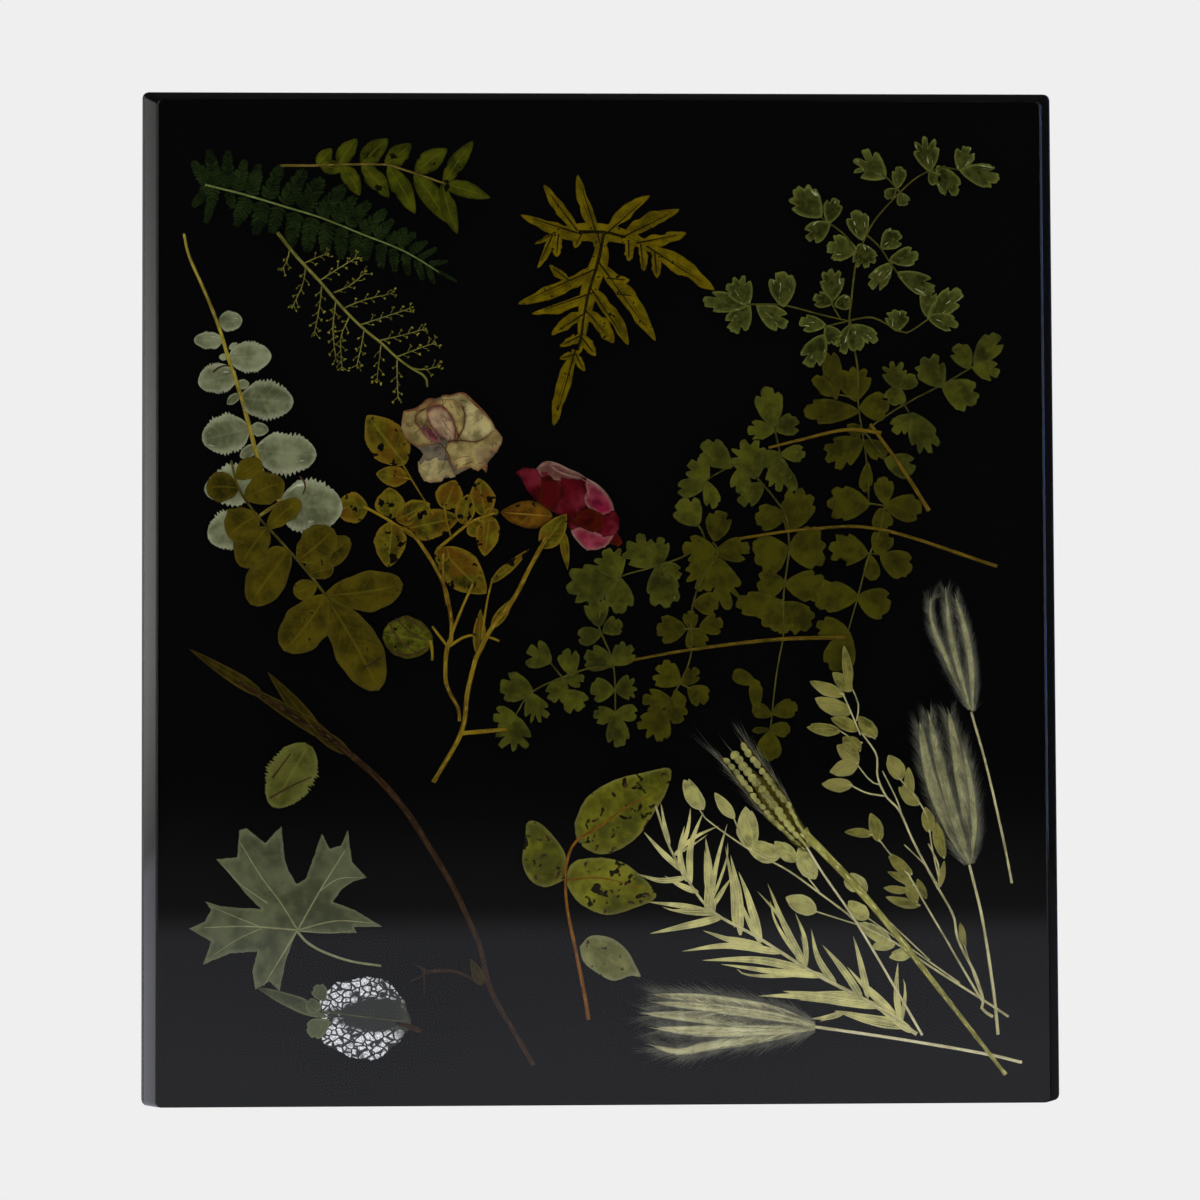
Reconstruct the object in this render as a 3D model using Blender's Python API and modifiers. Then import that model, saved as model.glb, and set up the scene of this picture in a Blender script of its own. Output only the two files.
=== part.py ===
"""Pressed flower resin panel: dried plants laid in layers inside a clear slab over a black backing.

The panel stands upright on its flat bottom edge. The face looks along -Y, X runs to the right and
Z up, and the origin is the middle of the bottom edge, halfway through the slab. Every plant is
placed on a layout sheet that covers the face: u runs to the right and v down, and place() turns a
sheet point into metres. A depth is always counted from the face.
"""

import math

import bmesh
import bpy
from mathutils import Vector
from mathutils.geometry import convex_hull_2d
from mathutils.geometry import delaunay_2d_cdt

# Driving dimensions of the slab, in metres
FACE_WIDTH = 0.397
FACE_HEIGHT = 0.449
THICKNESS = 0.030
SIDE_DRAFT = 0.008
TOP_DRAFT = 0.008
CORNER_RADIUS = 0.0028
CORNER_STEPS = 3
FRONT_EDGE_ROUND = 0.0010
BACK_EDGE_ROUND = 0.0016
BACKING_THICKNESS = 0.0060
SEAM_GAP = 0.0003
FRONT_HALF_THICKNESS = 0.0060
POCKET_FLOOR = 0.0150
POCKET_MARGIN = 0.003
SMALLEST_POCKET_BULGE = 0.00002

# Layers of pressed plants behind the front half
FIRST_LAYER = FRONT_HALF_THICKNESS + 2 * SEAM_GAP
PLANT_THICKNESS = 0.0008
LAYER_PITCH = PLANT_THICKNESS + SEAM_GAP
PETAL_STEP = 0.0008

# The layout sheet
SHEET_UNIT = 0.0004477
SHEET_MID_U = 601.4
SHEET_MID_V = 600.0
SHEET_LEAN = 0.0044
SHEET_TAPER = 0.0000122
SHEET_MID_HEIGHT = 0.2247
MERGE_UNITS = 0.02
SMALLEST_BULGE = 18.0

# Leaf forms: how far along the leaf, and half its width there, as shares of length and width
OVAL = ((0.0, 0.04), (0.30, 0.45), (0.68, 0.43), (1.0, 0.0))
LANCE = ((0.0, 0.16), (0.42, 0.50), (1.0, 0.0))
BLADE = ((0.0, 0.12), (0.45, 0.50), (1.0, 0.0))
PINNA = ((0.0, 0.32), (0.74, 0.46), (1.0, 0.0))
SPOON = ((0.0, 0.05), (0.35, 0.32), (0.72, 0.50), (1.0, 0.12))
ROUNDISH = ((0.0, 0.12), (0.24, 0.45), (0.74, 0.45), (1.0, 0.08))
TRIO = ((0.0, 0.07), (0.62, 0.49), (0.74, 0.24), (1.0, 0.0))
SMALL_LEAFLET = 22

COLOURS = {
    "black_resin": ((0.006, 0.006, 0.007), 0.2),
    "clear_resin": ((0.75, 0.80, 0.82), 0.1),
    "fern_green": ((0.045, 0.085, 0.025), 0.6),
    "leaf_green": ((0.16, 0.20, 0.04), 0.6),
    "silver_green": ((0.36, 0.38, 0.22), 0.6),
    "olive": ((0.17, 0.14, 0.03), 0.6),
    "ochre": ((0.32, 0.24, 0.03), 0.6),
    "cream": ((0.72, 0.60, 0.40), 0.6),
    "crimson": ((0.50, 0.03, 0.07), 0.6),
    "straw": ((0.60, 0.52, 0.26), 0.6),
    "bark_brown": ((0.16, 0.08, 0.03), 0.6),
    "white_web": ((0.75, 0.75, 0.68), 0.6),
}
"""Colour and roughness of each material."""


def behind_face(depth):
    """The Y of a point that lies a depth behind the face."""
    return depth - THICKNESS / 2


def place(u, v, depth):
    """A point of the layout sheet, depth metres behind the face."""
    down = v - SHEET_MID_V
    shrink = 1.0 - SHEET_TAPER * down
    x = (u - SHEET_MID_U - SHEET_LEAN * down) * SHEET_UNIT * shrink
    z = SHEET_MID_HEIGHT - down * SHEET_UNIT * shrink
    return Vector((x, behind_face(depth), z))


def clear_scene():
    """Remove every object and collection that the file opened with."""
    for obj in list(bpy.data.objects):
        bpy.data.objects.remove(obj, do_unlink=True)
    for collection in list(bpy.data.collections):
        bpy.data.collections.remove(collection)


def new_collection(name):
    collection = bpy.data.collections.new(name)
    bpy.context.scene.collection.children.link(collection)
    return collection


def material(name):
    """The named material, made once."""
    if name in bpy.data.materials:
        return bpy.data.materials[name]
    colour, roughness = COLOURS[name]
    mat = bpy.data.materials.new(name)
    mat.use_nodes = True
    shader = mat.node_tree.nodes["Principled BSDF"]
    shader.inputs["Base Color"].default_value = (*colour, 1.0)
    shader.inputs["Roughness"].default_value = roughness
    shader.inputs["Metallic"].default_value = 0.0
    return mat


def add_object(name, bm, collection, mat_name=None):
    """Turn a bmesh into an object of the collection."""
    mesh = bpy.data.meshes.new(name)
    bm.to_mesh(mesh)
    bm.free()
    obj = bpy.data.objects.new(name, mesh)
    collection.objects.link(obj)
    if mat_name:
        mesh.materials.append(material(mat_name))
    return obj


# The slab: rounded rectangles lofted from the face to the back


def slab_outline(depth, inset):
    """A rounded rectangle across the drafted slab at a depth behind the face."""
    share = depth / THICKNESS
    half = FACE_WIDTH / 2 + SIDE_DRAFT * share - inset
    top = FACE_HEIGHT + TOP_DRAFT * share - inset
    radius = CORNER_RADIUS - inset
    corners = (
        (half - radius, top - radius, 0),
        (-half + radius, top - radius, 1),
        (-half + radius, inset + radius, 2),
        (half - radius, inset + radius, 3),
    )
    points = []
    for x, z, quarter in corners:
        for step in range(CORNER_STEPS + 1):
            angle = math.pi / 2 * (quarter + step / CORNER_STEPS)
            across = x + radius * math.cos(angle)
            up = z + radius * math.sin(angle)
            points.append(Vector((across, behind_face(depth), up)))
    return points


def slab(name, stations, collection, mat_name):
    """Loft the slab outline through (depth, inset) stations, with a flat cap at each end."""
    bm = bmesh.new()
    rings = [[bm.verts.new(p) for p in slab_outline(depth, inset)] for depth, inset in stations]
    count = len(rings[0])
    for near, far in zip(rings, rings[1:]):
        for i in range(count):
            j = (i + 1) % count
            bm.faces.new((near[i], near[j], far[j], far[i]))
    bm.faces.new(rings[0])
    bm.faces.new(rings[-1])
    bmesh.ops.recalc_face_normals(bm, faces=bm.faces)
    return add_object(name, bm, collection, mat_name)


# Flat outlines: leaves, stems and their union


def side_of(path, index):
    """Unit normal of a flat path at one of its points."""
    before = path[max(index - 1, 0)]
    after = path[min(index + 1, len(path) - 1)]
    along = (after - before).normalized()
    return Vector((-along.y, along.x))


def stem(points, width, end_width=None):
    """Outline of a stem: a ribbon along the points, tapering from width to end_width."""
    path = [Vector(p) for p in points]
    end = width if end_width is None else end_width
    last = len(path) - 1
    left = []
    right = []
    for i, point in enumerate(path):
        half = (width + (end - width) * i / last) / 2
        left.append(point + side_of(path, i) * half)
        right.append(point - side_of(path, i) * half)
    return left + right[::-1]


def leaf(base_u, base_v, tip_u, tip_v, width, form=OVAL):
    """Outline of a leaf from its base to its tip, in one of the leaf forms."""
    base = Vector((base_u, base_v))
    along = Vector((tip_u, tip_v)) - base
    across = Vector((-along.y, along.x)).normalized() * width
    left = [base + along * t + across * w for t, w in form]
    right = [base + along * t - across * w for t, w in reversed(form) if w > 0.0]
    return left + right


def leaves(rows, form=OVAL):
    return [leaf(*row, form) for row in rows]


def signed_area(outline):
    total = 0.0
    for a, b in zip(outline, outline[1:] + outline[:1]):
        total += a.x * b.y - b.x * a.y
    return total / 2


def holds(outline, point):
    """Whether a point lies inside an outline, by crossings of a ray to the right."""
    inside = False
    for a, b in zip(outline, outline[1:] + outline[:1]):
        if (a.y > point.y) != (b.y > point.y):
            if point.x < a.x + (b.x - a.x) * (point.y - a.y) / (b.y - a.y):
                inside = not inside
    return inside


def covered_triangles(verts, edges, is_covered):
    """Triangulate the edges and keep each triangle whose middle is covered."""
    points, _, faces, _, _, _ = delaunay_2d_cdt(verts, edges, [], 0, MERGE_UNITS)
    kept = []
    for face in faces:
        middle = sum((points[i] for i in face), Vector((0.0, 0.0))) / len(face)
        if is_covered(middle):
            kept.append(tuple(face))
    return points, kept


def loop_edges(loops):
    """Points of closed loops in one list, and the edges between them."""
    verts = []
    edges = []
    for loop in loops:
        start = len(verts)
        verts += loop
        edges += [(start + i, start + (i + 1) % len(loop)) for i in range(len(loop))]
    return verts, edges


def rim_loops(points, faces):
    """Closed loops of the edges that belong to one face only."""
    directed = {(a, b) for face in faces for a, b in zip(face, face[1:] + face[:1])}
    following = {}
    for a, b in sorted(directed):
        if (b, a) not in directed:
            following.setdefault(a, []).append(b)
    loops = []
    while following:
        start = min(following)
        loop = []
        current = start
        while current in following:
            loop.append(points[current])
            step = following[current].pop()
            if not following[current]:
                del following[current]
            current = step
        loops.append(loop)
    return loops


def bulge(loop, index):
    """Area of the triangle between a point and its two neighbours."""
    before = loop[index - 1]
    after = loop[(index + 1) % len(loop)]
    return abs((loop[index] - before).cross(after - before)) / 2


def trimmed(loop, smallest):
    """A loop without the points that bulge less than the smallest area."""
    loop = list(loop)
    while len(loop) > 3:
        index = min(range(len(loop)), key=lambda i: bulge(loop, i))
        if bulge(loop, index) > smallest:
            break
        loop.pop(index)
    return loop


def fuse(outlines):
    """One flat region that covers all outlines, with no points inside it."""
    points, faces = covered_triangles(
        *loop_edges(outlines), lambda middle: any(holds(outline, middle) for outline in outlines)
    )
    loops = [trimmed(loop, SMALLEST_BULGE) for loop in rim_loops(points, faces)]
    return covered_triangles(
        *loop_edges(loops), lambda middle: sum(holds(loop, middle) for loop in loops) % 2 == 1
    )


def face_front(bm):
    """Turn every face of a flat mesh towards the face of the slab."""
    for face in bm.faces:
        face.normal_update()
        if face.normal.y > 0.0:
            face.normal_flip()


def thicken(obj, thickness):
    """Thicken a flat mesh backwards from its plane."""
    solid = obj.modifiers.new("thickness", "SOLIDIFY")
    solid.thickness = thickness
    solid.offset = -1.0


def sheet_object(name, outlines, front, thickness, collection, mat_name=None):
    """Fuse outlines and thicken them into a plate whose front lies at the given depth."""
    points, faces = fuse([o if signed_area(o) > 0 else o[::-1] for o in outlines])
    bm = bmesh.new()
    verts = {}
    for face in faces:
        for i in face:
            if i not in verts:
                verts[i] = bm.verts.new(place(points[i].x, points[i].y, front))
        bm.faces.new([verts[i] for i in face])
    face_front(bm)
    obj = add_object(name, bm, collection, mat_name)
    thicken(obj, thickness)
    return obj


def layer_depth(layer):
    return FIRST_LAYER + LAYER_PITCH * layer


# The plants, each in a function of its own that returns flat outlines


def fern_frond():
    rib = [(206, 185), (246, 195), (286, 207), (322, 218), (362, 234), (404, 251), (439, 272)]
    lower = [
        (209, 186, 195, 206, 10), (216, 188, 209, 222, 11), (229, 191, 232, 207, 10),
        (249, 197, 238, 225, 15), (264, 201, 256, 232, 16), (280, 206, 272, 231, 15),
        (296, 211, 290, 246, 16), (312, 216, 309, 250, 16), (327, 221, 326, 253, 16),
        (342, 226, 340, 257, 15), (356, 232, 354, 258, 14), (368, 237, 367, 259, 12),
        (381, 242, 382, 267, 11), (393, 247, 395, 270, 10), (405, 252, 409, 274, 9),
        (416, 258, 422, 279, 8), (427, 264, 435, 283, 6),
    ]
    upper = [
        (209, 185, 196, 162, 14), (217, 187, 211, 151, 14), (227, 189, 228, 153, 14),
        (238, 192, 244, 162, 14), (252, 196, 259, 166, 14), (267, 200, 279, 167, 16),
        (284, 205, 305, 172, 18), (301, 210, 321, 180, 20), (319, 216, 345, 188, 17),
        (333, 221, 356, 199, 15), (346, 226, 369, 204, 15), (361, 232, 384, 211, 15),
        (375, 238, 393, 221, 12), (387, 243, 405, 228, 11), (398, 247, 415, 234, 10),
        (409, 252, 426, 241, 9), (418, 259, 436, 249, 7), (429, 264, 446, 259, 6),
    ]
    return [stem(rib, 2.6, 2.2), leaf(438, 270, 456, 282, 6, BLADE)] + leaves(lower + upper, PINNA)


def leafy_sprig():
    axis = [(281, 166), (318, 166), (340, 165), (384, 165), (400, 169), (416, 174), (445, 184)]
    rows = [
        (317, 165, 332, 149, 15), (320, 165, 345, 170, 15), (338, 166, 357, 139, 18),
        (361, 165, 388, 139, 21), (385, 165, 411, 144, 20), (415, 173, 447, 149, 21),
        (443, 184, 473, 141, 17), (443, 184, 490, 198, 17), (342, 165, 360, 196, 17),
        (362, 165, 389, 198, 19), (388, 166, 415, 214, 20), (414, 173, 447, 223, 21),
        (442, 183, 457, 234, 17),
    ]
    return [stem(axis, 3.0)] + leaves(rows, OVAL)


def seed_panicle():
    """A main stem whose side branches carry small seeds by turns left and right."""
    axis = [
        (278, 233), (291, 250), (306, 267), (321, 283), (337, 302), (353, 319), (367, 332), (382, 344),
        (398, 359), (412, 369), (436, 368),
    ]
    branches = [
        [axis[2], (325, 255)], [axis[3], (340, 268), (355, 259)], [axis[3], (345, 289), (364, 274)],
        [axis[4], (365, 300), (391, 294)], [axis[5], (385, 317), (409, 309)],
        [axis[7], (400, 336), (422, 330)], [axis[8], (415, 350), (432, 344)], [axis[1], (284, 268)],
        [axis[2], (293, 305)], [axis[3], (315, 332)], [axis[4], (333, 330), (336, 359)],
        [axis[5], (341, 338), (342, 367)], [axis[6], (361, 348), (357, 365)], [axis[7], (377, 379)],
        [axis[8], (398, 397)], [axis[9], (425, 378), (427, 388)],
    ]
    outlines = [stem(axis, 3.2, 2.4)]
    for path in branches:
        outlines.append(stem(path, 2.0, 1.6))
        before = Vector(path[-2])
        tip = Vector(path[-1])
        along = (tip - before).normalized()
        across = Vector((-along.y, along.x))
        for share, hand in ((0.55, -1), (0.88, 1)):
            foot = before.lerp(tip, share)
            end = foot + along * 4.0 + across * hand * 5.5
            outlines.append(leaf(foot.x, foot.y, end.x, end.y, 4.0, BLADE))
    return outlines


def burnet_leaf():
    axis = [(185, 234), (190, 256), (204, 288), (219, 325), (242, 397), (259, 460), (283, 503)]
    small = [
        (228, 357, 220, 357, 7), (230, 349, 238, 343, 6), (238, 384, 250, 384, 10),
        (240, 394, 228, 404, 9), (251, 428, 269, 430, 14), (257, 446, 241, 457, 12),
    ]
    large = [
        (220, 322, 243, 320, 21), (223, 341, 195, 340, 18), (230, 357, 272, 356, 32),
        (237, 374, 199, 383, 31), (242, 398, 294, 402, 40), (249, 428, 203, 440, 42),
        (257, 450, 317, 455, 44), (269, 479, 205, 490, 42), (250, 522, 209, 538, 40),
        (280, 504, 343, 508, 56),
    ]
    petiole = stem([(281, 500), (262, 512), (248, 524)], 5.0)
    return [stem(axis, 4.0, 5.5), petiole] + leaves(small + large, ROUNDISH)


def olive_leaf_sprig():
    axis = [(232, 460), (239, 487), (255, 512), (273, 532), (291, 552), (309, 573), (330, 600)]
    rows = [
        (237, 478, 262, 461, 22, OVAL), (240, 488, 207, 487, 30, OVAL), (245, 498, 285, 482, 32, OVAL),
        (259, 514, 229, 536, 38, OVAL), (268, 527, 241, 566, 34, OVAL), (290, 551, 251, 604, 42, SPOON),
        (268, 528, 301, 500, 22, OVAL), (298, 560, 334, 529, 38, OVAL), (306, 569, 350, 538, 28, OVAL),
        (308, 574, 334, 568, 18, OVAL), (317, 584, 294, 593, 22, OVAL), (286, 548, 266, 560, 18, OVAL),
        (326, 595, 403, 584, 40, OVAL), (326, 595, 284, 650, 47, SPOON), (328, 599, 379, 690, 47, OVAL),
        (327, 597, 324, 620, 8, OVAL),
    ]
    return [stem(axis, 2.8, 3.4)] + [leaf(*row) for row in rows]


def golden_fern():
    upper_rib = [(556, 234), (578, 232), (603, 232), (637, 241), (665, 258)]
    lower_rib = [(603, 232), (600, 257), (590, 285), (583, 318), (580, 348), (572, 356)]
    lobes = [
        (596, 234, 577, 175, 14), (577, 231, 543, 185, 14), (580, 234, 520, 215, 13),
        (555, 232, 534, 244, 6), (552, 235, 537, 268, 9), (558, 234, 556, 257, 13),
        (582, 232, 574, 248, 11), (597, 232, 600, 248, 24), (604, 235, 649, 195, 14),
        (620, 238, 679, 209, 17), (636, 243, 686, 233, 14), (646, 246, 714, 290, 20),
        (628, 240, 628, 261, 12), (640, 244, 643, 271, 10), (654, 252, 656, 278, 12),
        (597, 268, 517, 304, 17), (568, 280, 549, 265, 10), (594, 292, 531, 314, 12),
        (586, 312, 551, 335, 14), (583, 334, 559, 346, 10), (598, 262, 655, 341, 19),
        (606, 278, 629, 280, 11), (616, 294, 634, 296, 10), (590, 288, 628, 345, 16),
        (585, 310, 613, 343, 18), (580, 336, 595, 356, 13), (575, 350, 553, 426, 17),
        (575, 354, 584, 371, 9), (574, 354, 559, 359, 8),
    ]
    webs = [stem(upper_rib, 10, 12), stem(lower_rib[:2], 3), stem(lower_rib[1:], 14, 9)]
    return webs + leaves(lobes, LANCE)


def cream_rose_stem():
    return [
        stem([(400, 527), (416, 538), (442, 581), (451, 621), (450, 645)], 4.0, 4.6),
        stem([(450, 640), (446, 652), (446, 684), (458, 708), (459, 721)], 5.4, 3.6),
        stem([(449, 648), (440, 637), (432, 626)], 3.6, 2.4),
        stem([(449, 646), (466, 636), (485, 636), (499, 641)], 3.6, 2.6),
        stem([(452, 632), (462, 607), (473, 583)], 3.6, 3.2),
        stem([(447, 605), (443, 580), (443, 553)], 4.0, 2.8),
    ]


def rose_spray_left():
    """Rose leaf with an orange end leaflet, and the thin stem of the leaflet above it."""
    rows = [
        (368, 507, 334, 508, 31), (392, 521, 388, 567, 32), (391, 518, 389, 487, 30),
        (396, 520, 430, 503, 24), (403, 529, 459, 517, 31), (408, 478, 376, 473, 21),
        (405, 464, 367, 415, 40),
    ]
    stalks = [
        stem([(364, 506), (384, 517), (400, 527), (412, 532)], 3.2, 3.6),
        stem([(402, 463), (415, 485), (433, 514)], 2.6),
        stem([(404, 477), (411, 479)], 2.6),
    ]
    return stalks + leaves(rows, ROUNDISH)


def rose_spray_right():
    rows = [
        (444, 509, 455, 480, 28), (462, 524, 468, 494, 20), (485, 516, 478, 478, 26),
        (490, 514, 484, 556, 24), (470, 521, 482, 536, 20), (484, 517, 499, 511, 14),
    ]
    stalks = [
        stem([(437, 549), (455, 534), (472, 521), (494, 513)], 4.0, 3.0),
        stem([(444, 505), (446, 520), (451, 537)], 3.0),
    ]
    return stalks + leaves(rows, ROUNDISH)


def folded_rose_leaf():
    return leaves([(441, 548, 486, 593, 40), (444, 546, 438, 564, 16)], ROUNDISH)


def rolled_rose_leaf():
    return [leaf(383, 633, 433, 642, 45, ROUNDISH), leaf(430, 643, 432, 661, 5, BLADE)]


def red_rose_stem():
    return [
        stem([(546, 537), (528, 570), (513, 599), (490, 630), (475, 659)], 5.0, 5.6),
        stem([(475, 659), (467, 692), (461, 732), (433, 782)], 5.6, 5.0),
        stem([(461, 733), (485, 731), (507, 729)], 5.6, 4.0),
        leaf(541, 548, 566, 514, 26, SPOON),
        leaf(562, 530, 567, 570, 10, LANCE),
        leaf(491, 628, 513, 598, 12, BLADE),
        leaf(478, 655, 480, 609, 14, BLADE),
        stem([(481, 640), (486, 605), (492, 578)], 3.0, 2.6),
        leaf(490, 583, 529, 549, 11, LANCE),
    ]


def red_rose_leaf():
    return leaves([(552, 516, 500, 512, 28)], OVAL)


def cream_rose_petals():
    """Outlines of the pressed bloom from its widest ring of petals to the bud in the middle."""
    outer = [
        (400, 430), (403, 412), (420, 404), (432, 398), (446, 395), (459, 391), (472, 398),
        (488, 415), (503, 437), (499, 447), (492, 453), (484, 472), (478, 465), (458, 467),
        (447, 480), (424, 483), (416, 465), (407, 443),
    ]
    inner = [
        (408, 428), (414, 411), (432, 401), (452, 400), (466, 412), (473, 430), (468, 448),
        (450, 458), (432, 462), (420, 452),
    ]
    bud = [(426, 424), (430, 410), (442, 406), (453, 414), (456, 430), (447, 441), (434, 438)]
    return [[Vector(p) for p in ring] for ring in (outer, inner, bud)]


def red_rose_petals():
    outer = [
        (515, 471), (530, 466), (549, 459), (566, 465), (584, 475), (599, 489), (609, 504),
        (618, 523), (617, 536), (623, 546), (606, 541), (604, 549), (590, 551), (574, 537),
        (562, 521), (546, 508), (530, 490),
    ]
    middle = [
        (536, 472), (555, 469), (575, 480), (592, 494), (603, 512), (600, 527), (585, 530),
        (567, 517), (549, 503), (540, 488),
    ]
    heart = [(553, 476), (570, 484), (581, 497), (576, 510), (563, 512), (552, 497)]
    return [[Vector(p) for p in ring] for ring in (outer, middle, heart)]


# Sprays of lobed leaflets in threes: the stalks, then one row for each leaflet

SPRAY_TOP = (
    [
        [(850, 330), (849, 318), (851, 300), (856, 262), (866, 235), (880, 213), (915, 178), (945, 165)],
        [(900, 192), (890, 180), (882, 174)], [(940, 166), (960, 169)],
        [(855, 250), (845, 235), (828, 222), (817, 214)], [(866, 234), (880, 247), (891, 264), (900, 276)],
    ],
    [
        (930, 171, 924, 136, 27), (930, 170, 937, 184, 13), (937, 165, 956, 194, 24),
        (959, 170, 968, 146, 21), (960, 169, 999, 178, 24), (886, 177, 856, 156, 32),
        (897, 188, 900, 166, 15), (896, 188, 885, 197, 12), (900, 192, 905, 205, 14),
        (821, 217, 794, 189, 33), (828, 223, 835, 198, 19), (830, 222, 806, 238, 22),
        (857, 250, 827, 246, 27), (862, 240, 855, 210, 23), (859, 243, 868, 267, 26),
        (881, 248, 899, 232, 22), (889, 260, 918, 254, 20), (892, 262, 871, 288, 20),
        (897, 272, 934, 290, 22),
    ],
)
SPRAY_ARMS = (
    [
        [(746, 304), (770, 304), (785, 305), (820, 314), (850, 321)],
        [(850, 320), (872, 317), (895, 328), (908, 332), (932, 316)],
        [(832, 296), (832, 304), (840, 318)], [(850, 320), (826, 326)], [(850, 320), (852, 330)],
        [(826, 325), (823, 336)],
    ],
    [
        (750, 304, 703, 300, 22), (748, 305, 733, 277, 28), (749, 303, 731, 331, 26),
        (756, 304, 786, 326, 24), (783, 307, 781, 271, 28), (832, 301, 832, 268, 25),
        (833, 303, 813, 297, 17), (834, 305, 851, 300, 16), (826, 325, 799, 322, 18),
        (825, 325, 838, 343, 18), (824, 334, 807, 366, 26), (850, 324, 843, 353, 20),
        (851, 324, 858, 351, 18), (853, 324, 877, 341, 16), (897, 331, 897, 309, 25),
        (928, 318, 961, 290, 24), (927, 316, 958, 325, 18), (926, 316, 930, 288, 18),
    ],
)
SPRAY_MIDDLE = (
    [
        [(851, 336), (855, 352), (858, 372), (858, 400), (862, 430), (866, 455), (868, 480), (869, 505)],
        [(858, 398), (838, 394)], [(859, 408), (868, 407)],
    ],
    [
        (836, 400, 830, 351, 20), (834, 396, 813, 377, 20), (856, 401, 853, 366, 36),
        (860, 411, 804, 411, 26), (859, 408, 889, 405, 30), (864, 440, 826, 460, 34),
        (863, 440, 886, 456, 20), (860, 425, 850, 434, 18), (868, 462, 865, 492, 14),
    ],
)
SPRAY_RIGHT = (
    [
        [(862, 436), (874, 424), (905, 404), (945, 383), (974, 366)], [(905, 405), (911, 416)],
        [(899, 386), (906, 404)], [(865, 432), (884, 458), (890, 466)],
    ],
    [
        (943, 387, 923, 357, 32), (942, 384, 977, 401, 33), (970, 369, 957, 344, 22),
        (974, 364, 1000, 335, 25), (972, 367, 1000, 372, 21), (898, 389, 892, 361, 26),
        (899, 388, 917, 377, 16), (898, 385, 893, 405, 23), (912, 414, 893, 432, 20),
        (911, 412, 932, 453, 30), (884, 459, 915, 470, 26),
    ],
)
SPRAY_LEFT = (
    [
        [(757, 478), (774, 498), (786, 518), (789, 550)], [(774, 428), (778, 446), (780, 462), (770, 484)],
        [(758, 479), (740, 464), (712, 476), (704, 484)], [(760, 480), (748, 494)],
    ],
    [
        (773, 427, 766, 387, 29), (775, 430, 747, 430, 21), (774, 430, 798, 421, 23),
        (780, 454, 805, 453, 18), (782, 454, 760, 464, 22), (756, 479, 743, 440, 38),
        (731, 468, 702, 443, 28), (742, 466, 739, 492, 22), (764, 484, 738, 502, 24),
        (782, 458, 776, 491, 27), (786, 466, 794, 492, 12), (708, 480, 690, 461, 26),
        (708, 482, 677, 491, 20), (706, 481, 714, 508, 18),
    ],
)
SPRAY_CENTRE = (
    [
        [(788, 530), (789, 550), (785, 580), (783, 604), (783, 636), (776, 676), (770, 732)],
        [(786, 530), (782, 512)], [(783, 604), (776, 602)],
    ],
    [
        (786, 516, 755, 518, 28), (788, 532, 804, 489, 36), (787, 550, 826, 546, 46),
        (788, 547, 754, 560, 42), (785, 582, 757, 586, 30), (784, 584, 826, 588, 34),
        (784, 604, 736, 604, 26), (784, 600, 764, 627, 34), (783, 602, 782, 634, 24),
        (784, 602, 808, 630, 34), (770, 731, 768, 761, 26), (770, 730, 752, 731, 7),
        (769, 728, 790, 731, 16), (772, 716, 752, 708, 16), (771, 714, 797, 706, 20),
        (756, 712, 755, 680, 14), (756, 684, 732, 673, 16),
    ],
)
SPRAY_LOW_RIGHT = (
    [
        [(885, 503), (880, 530), (869, 556), (858, 596), (848, 632)], [(866, 503), (885, 506)],
        [(862, 553), (882, 555)],
    ],
    [
        (870, 504, 827, 503, 37), (885, 505, 883, 477, 21), (884, 506, 922, 510, 29),
        (880, 508, 884, 530, 22), (868, 554, 829, 547, 35), (876, 555, 886, 532, 24),
        (870, 555, 873, 581, 17), (880, 555, 911, 571, 30), (859, 597, 813, 596, 34),
        (857, 597, 890, 608, 33), (849, 632, 816, 626, 23), (848, 631, 834, 672, 33),
    ],
)
SPRAY_WEST = (
    [
        [(704, 542), (684, 556), (656, 566), (618, 577), (600, 588)],
        [(604, 590), (598, 624), (602, 636), (613, 666), (615, 716)],
        [(697, 524), (703, 534), (704, 543)],
    ],
    [
        (657, 566, 627, 541, 36), (658, 567, 660, 537, 20), (659, 563, 665, 608, 35),
        (661, 562, 679, 578, 18), (618, 578, 604, 550, 34), (617, 576, 620, 613, 29),
        (619, 578, 566, 588, 42), (599, 627, 593, 598, 26), (602, 633, 577, 638, 20),
        (602, 632, 621, 622, 20), (613, 664, 584, 655, 27), (612, 665, 631, 646, 25),
        (614, 690, 590, 690, 25), (614, 690, 636, 686, 26), (616, 714, 593, 716, 19),
        (614, 713, 637, 713, 18), (615, 713, 618, 747, 24), (698, 526, 680, 500, 31),
    ],
)
SPRAY_SOUTH_WEST = (
    [
        [(612, 667), (590, 668), (560, 678), (530, 693), (514, 717)], [(562, 678), (548, 660)],
        [(562, 678), (570, 694)],
    ],
    [
        (551, 662, 527, 650, 30), (572, 676, 566, 649, 22), (563, 677, 583, 680, 18),
        (563, 677, 553, 702, 24), (567, 690, 580, 710, 27), (533, 692, 500, 684, 31),
        (529, 693, 541, 722, 26), (516, 716, 493, 718, 24), (515, 715, 512, 751, 37),
    ],
)
SPRAY_SOUTH = (
    [
        [(712, 542), (717, 554), (700, 582), (691, 612), (691, 650), (683, 676), (662, 714)],
        [(683, 629), (701, 629)], [(680, 684), (692, 690)],
    ],
    [
        (714, 542, 720, 511, 26), (714, 553, 749, 548, 26), (716, 551, 682, 548, 28),
        (715, 555, 694, 589, 36), (714, 556, 728, 609, 38), (692, 604, 718, 604, 24),
        (691, 630, 689, 611, 16), (698, 629, 722, 622, 22), (686, 629, 656, 630, 29),
        (690, 627, 700, 650, 24), (680, 684, 655, 668, 30), (680, 685, 698, 670, 17),
        (671, 700, 642, 701, 24), (674, 690, 682, 708, 14), (687, 688, 707, 701, 23),
        (670, 699, 679, 723, 23), (664, 710, 647, 738, 37),
    ],
)


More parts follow.
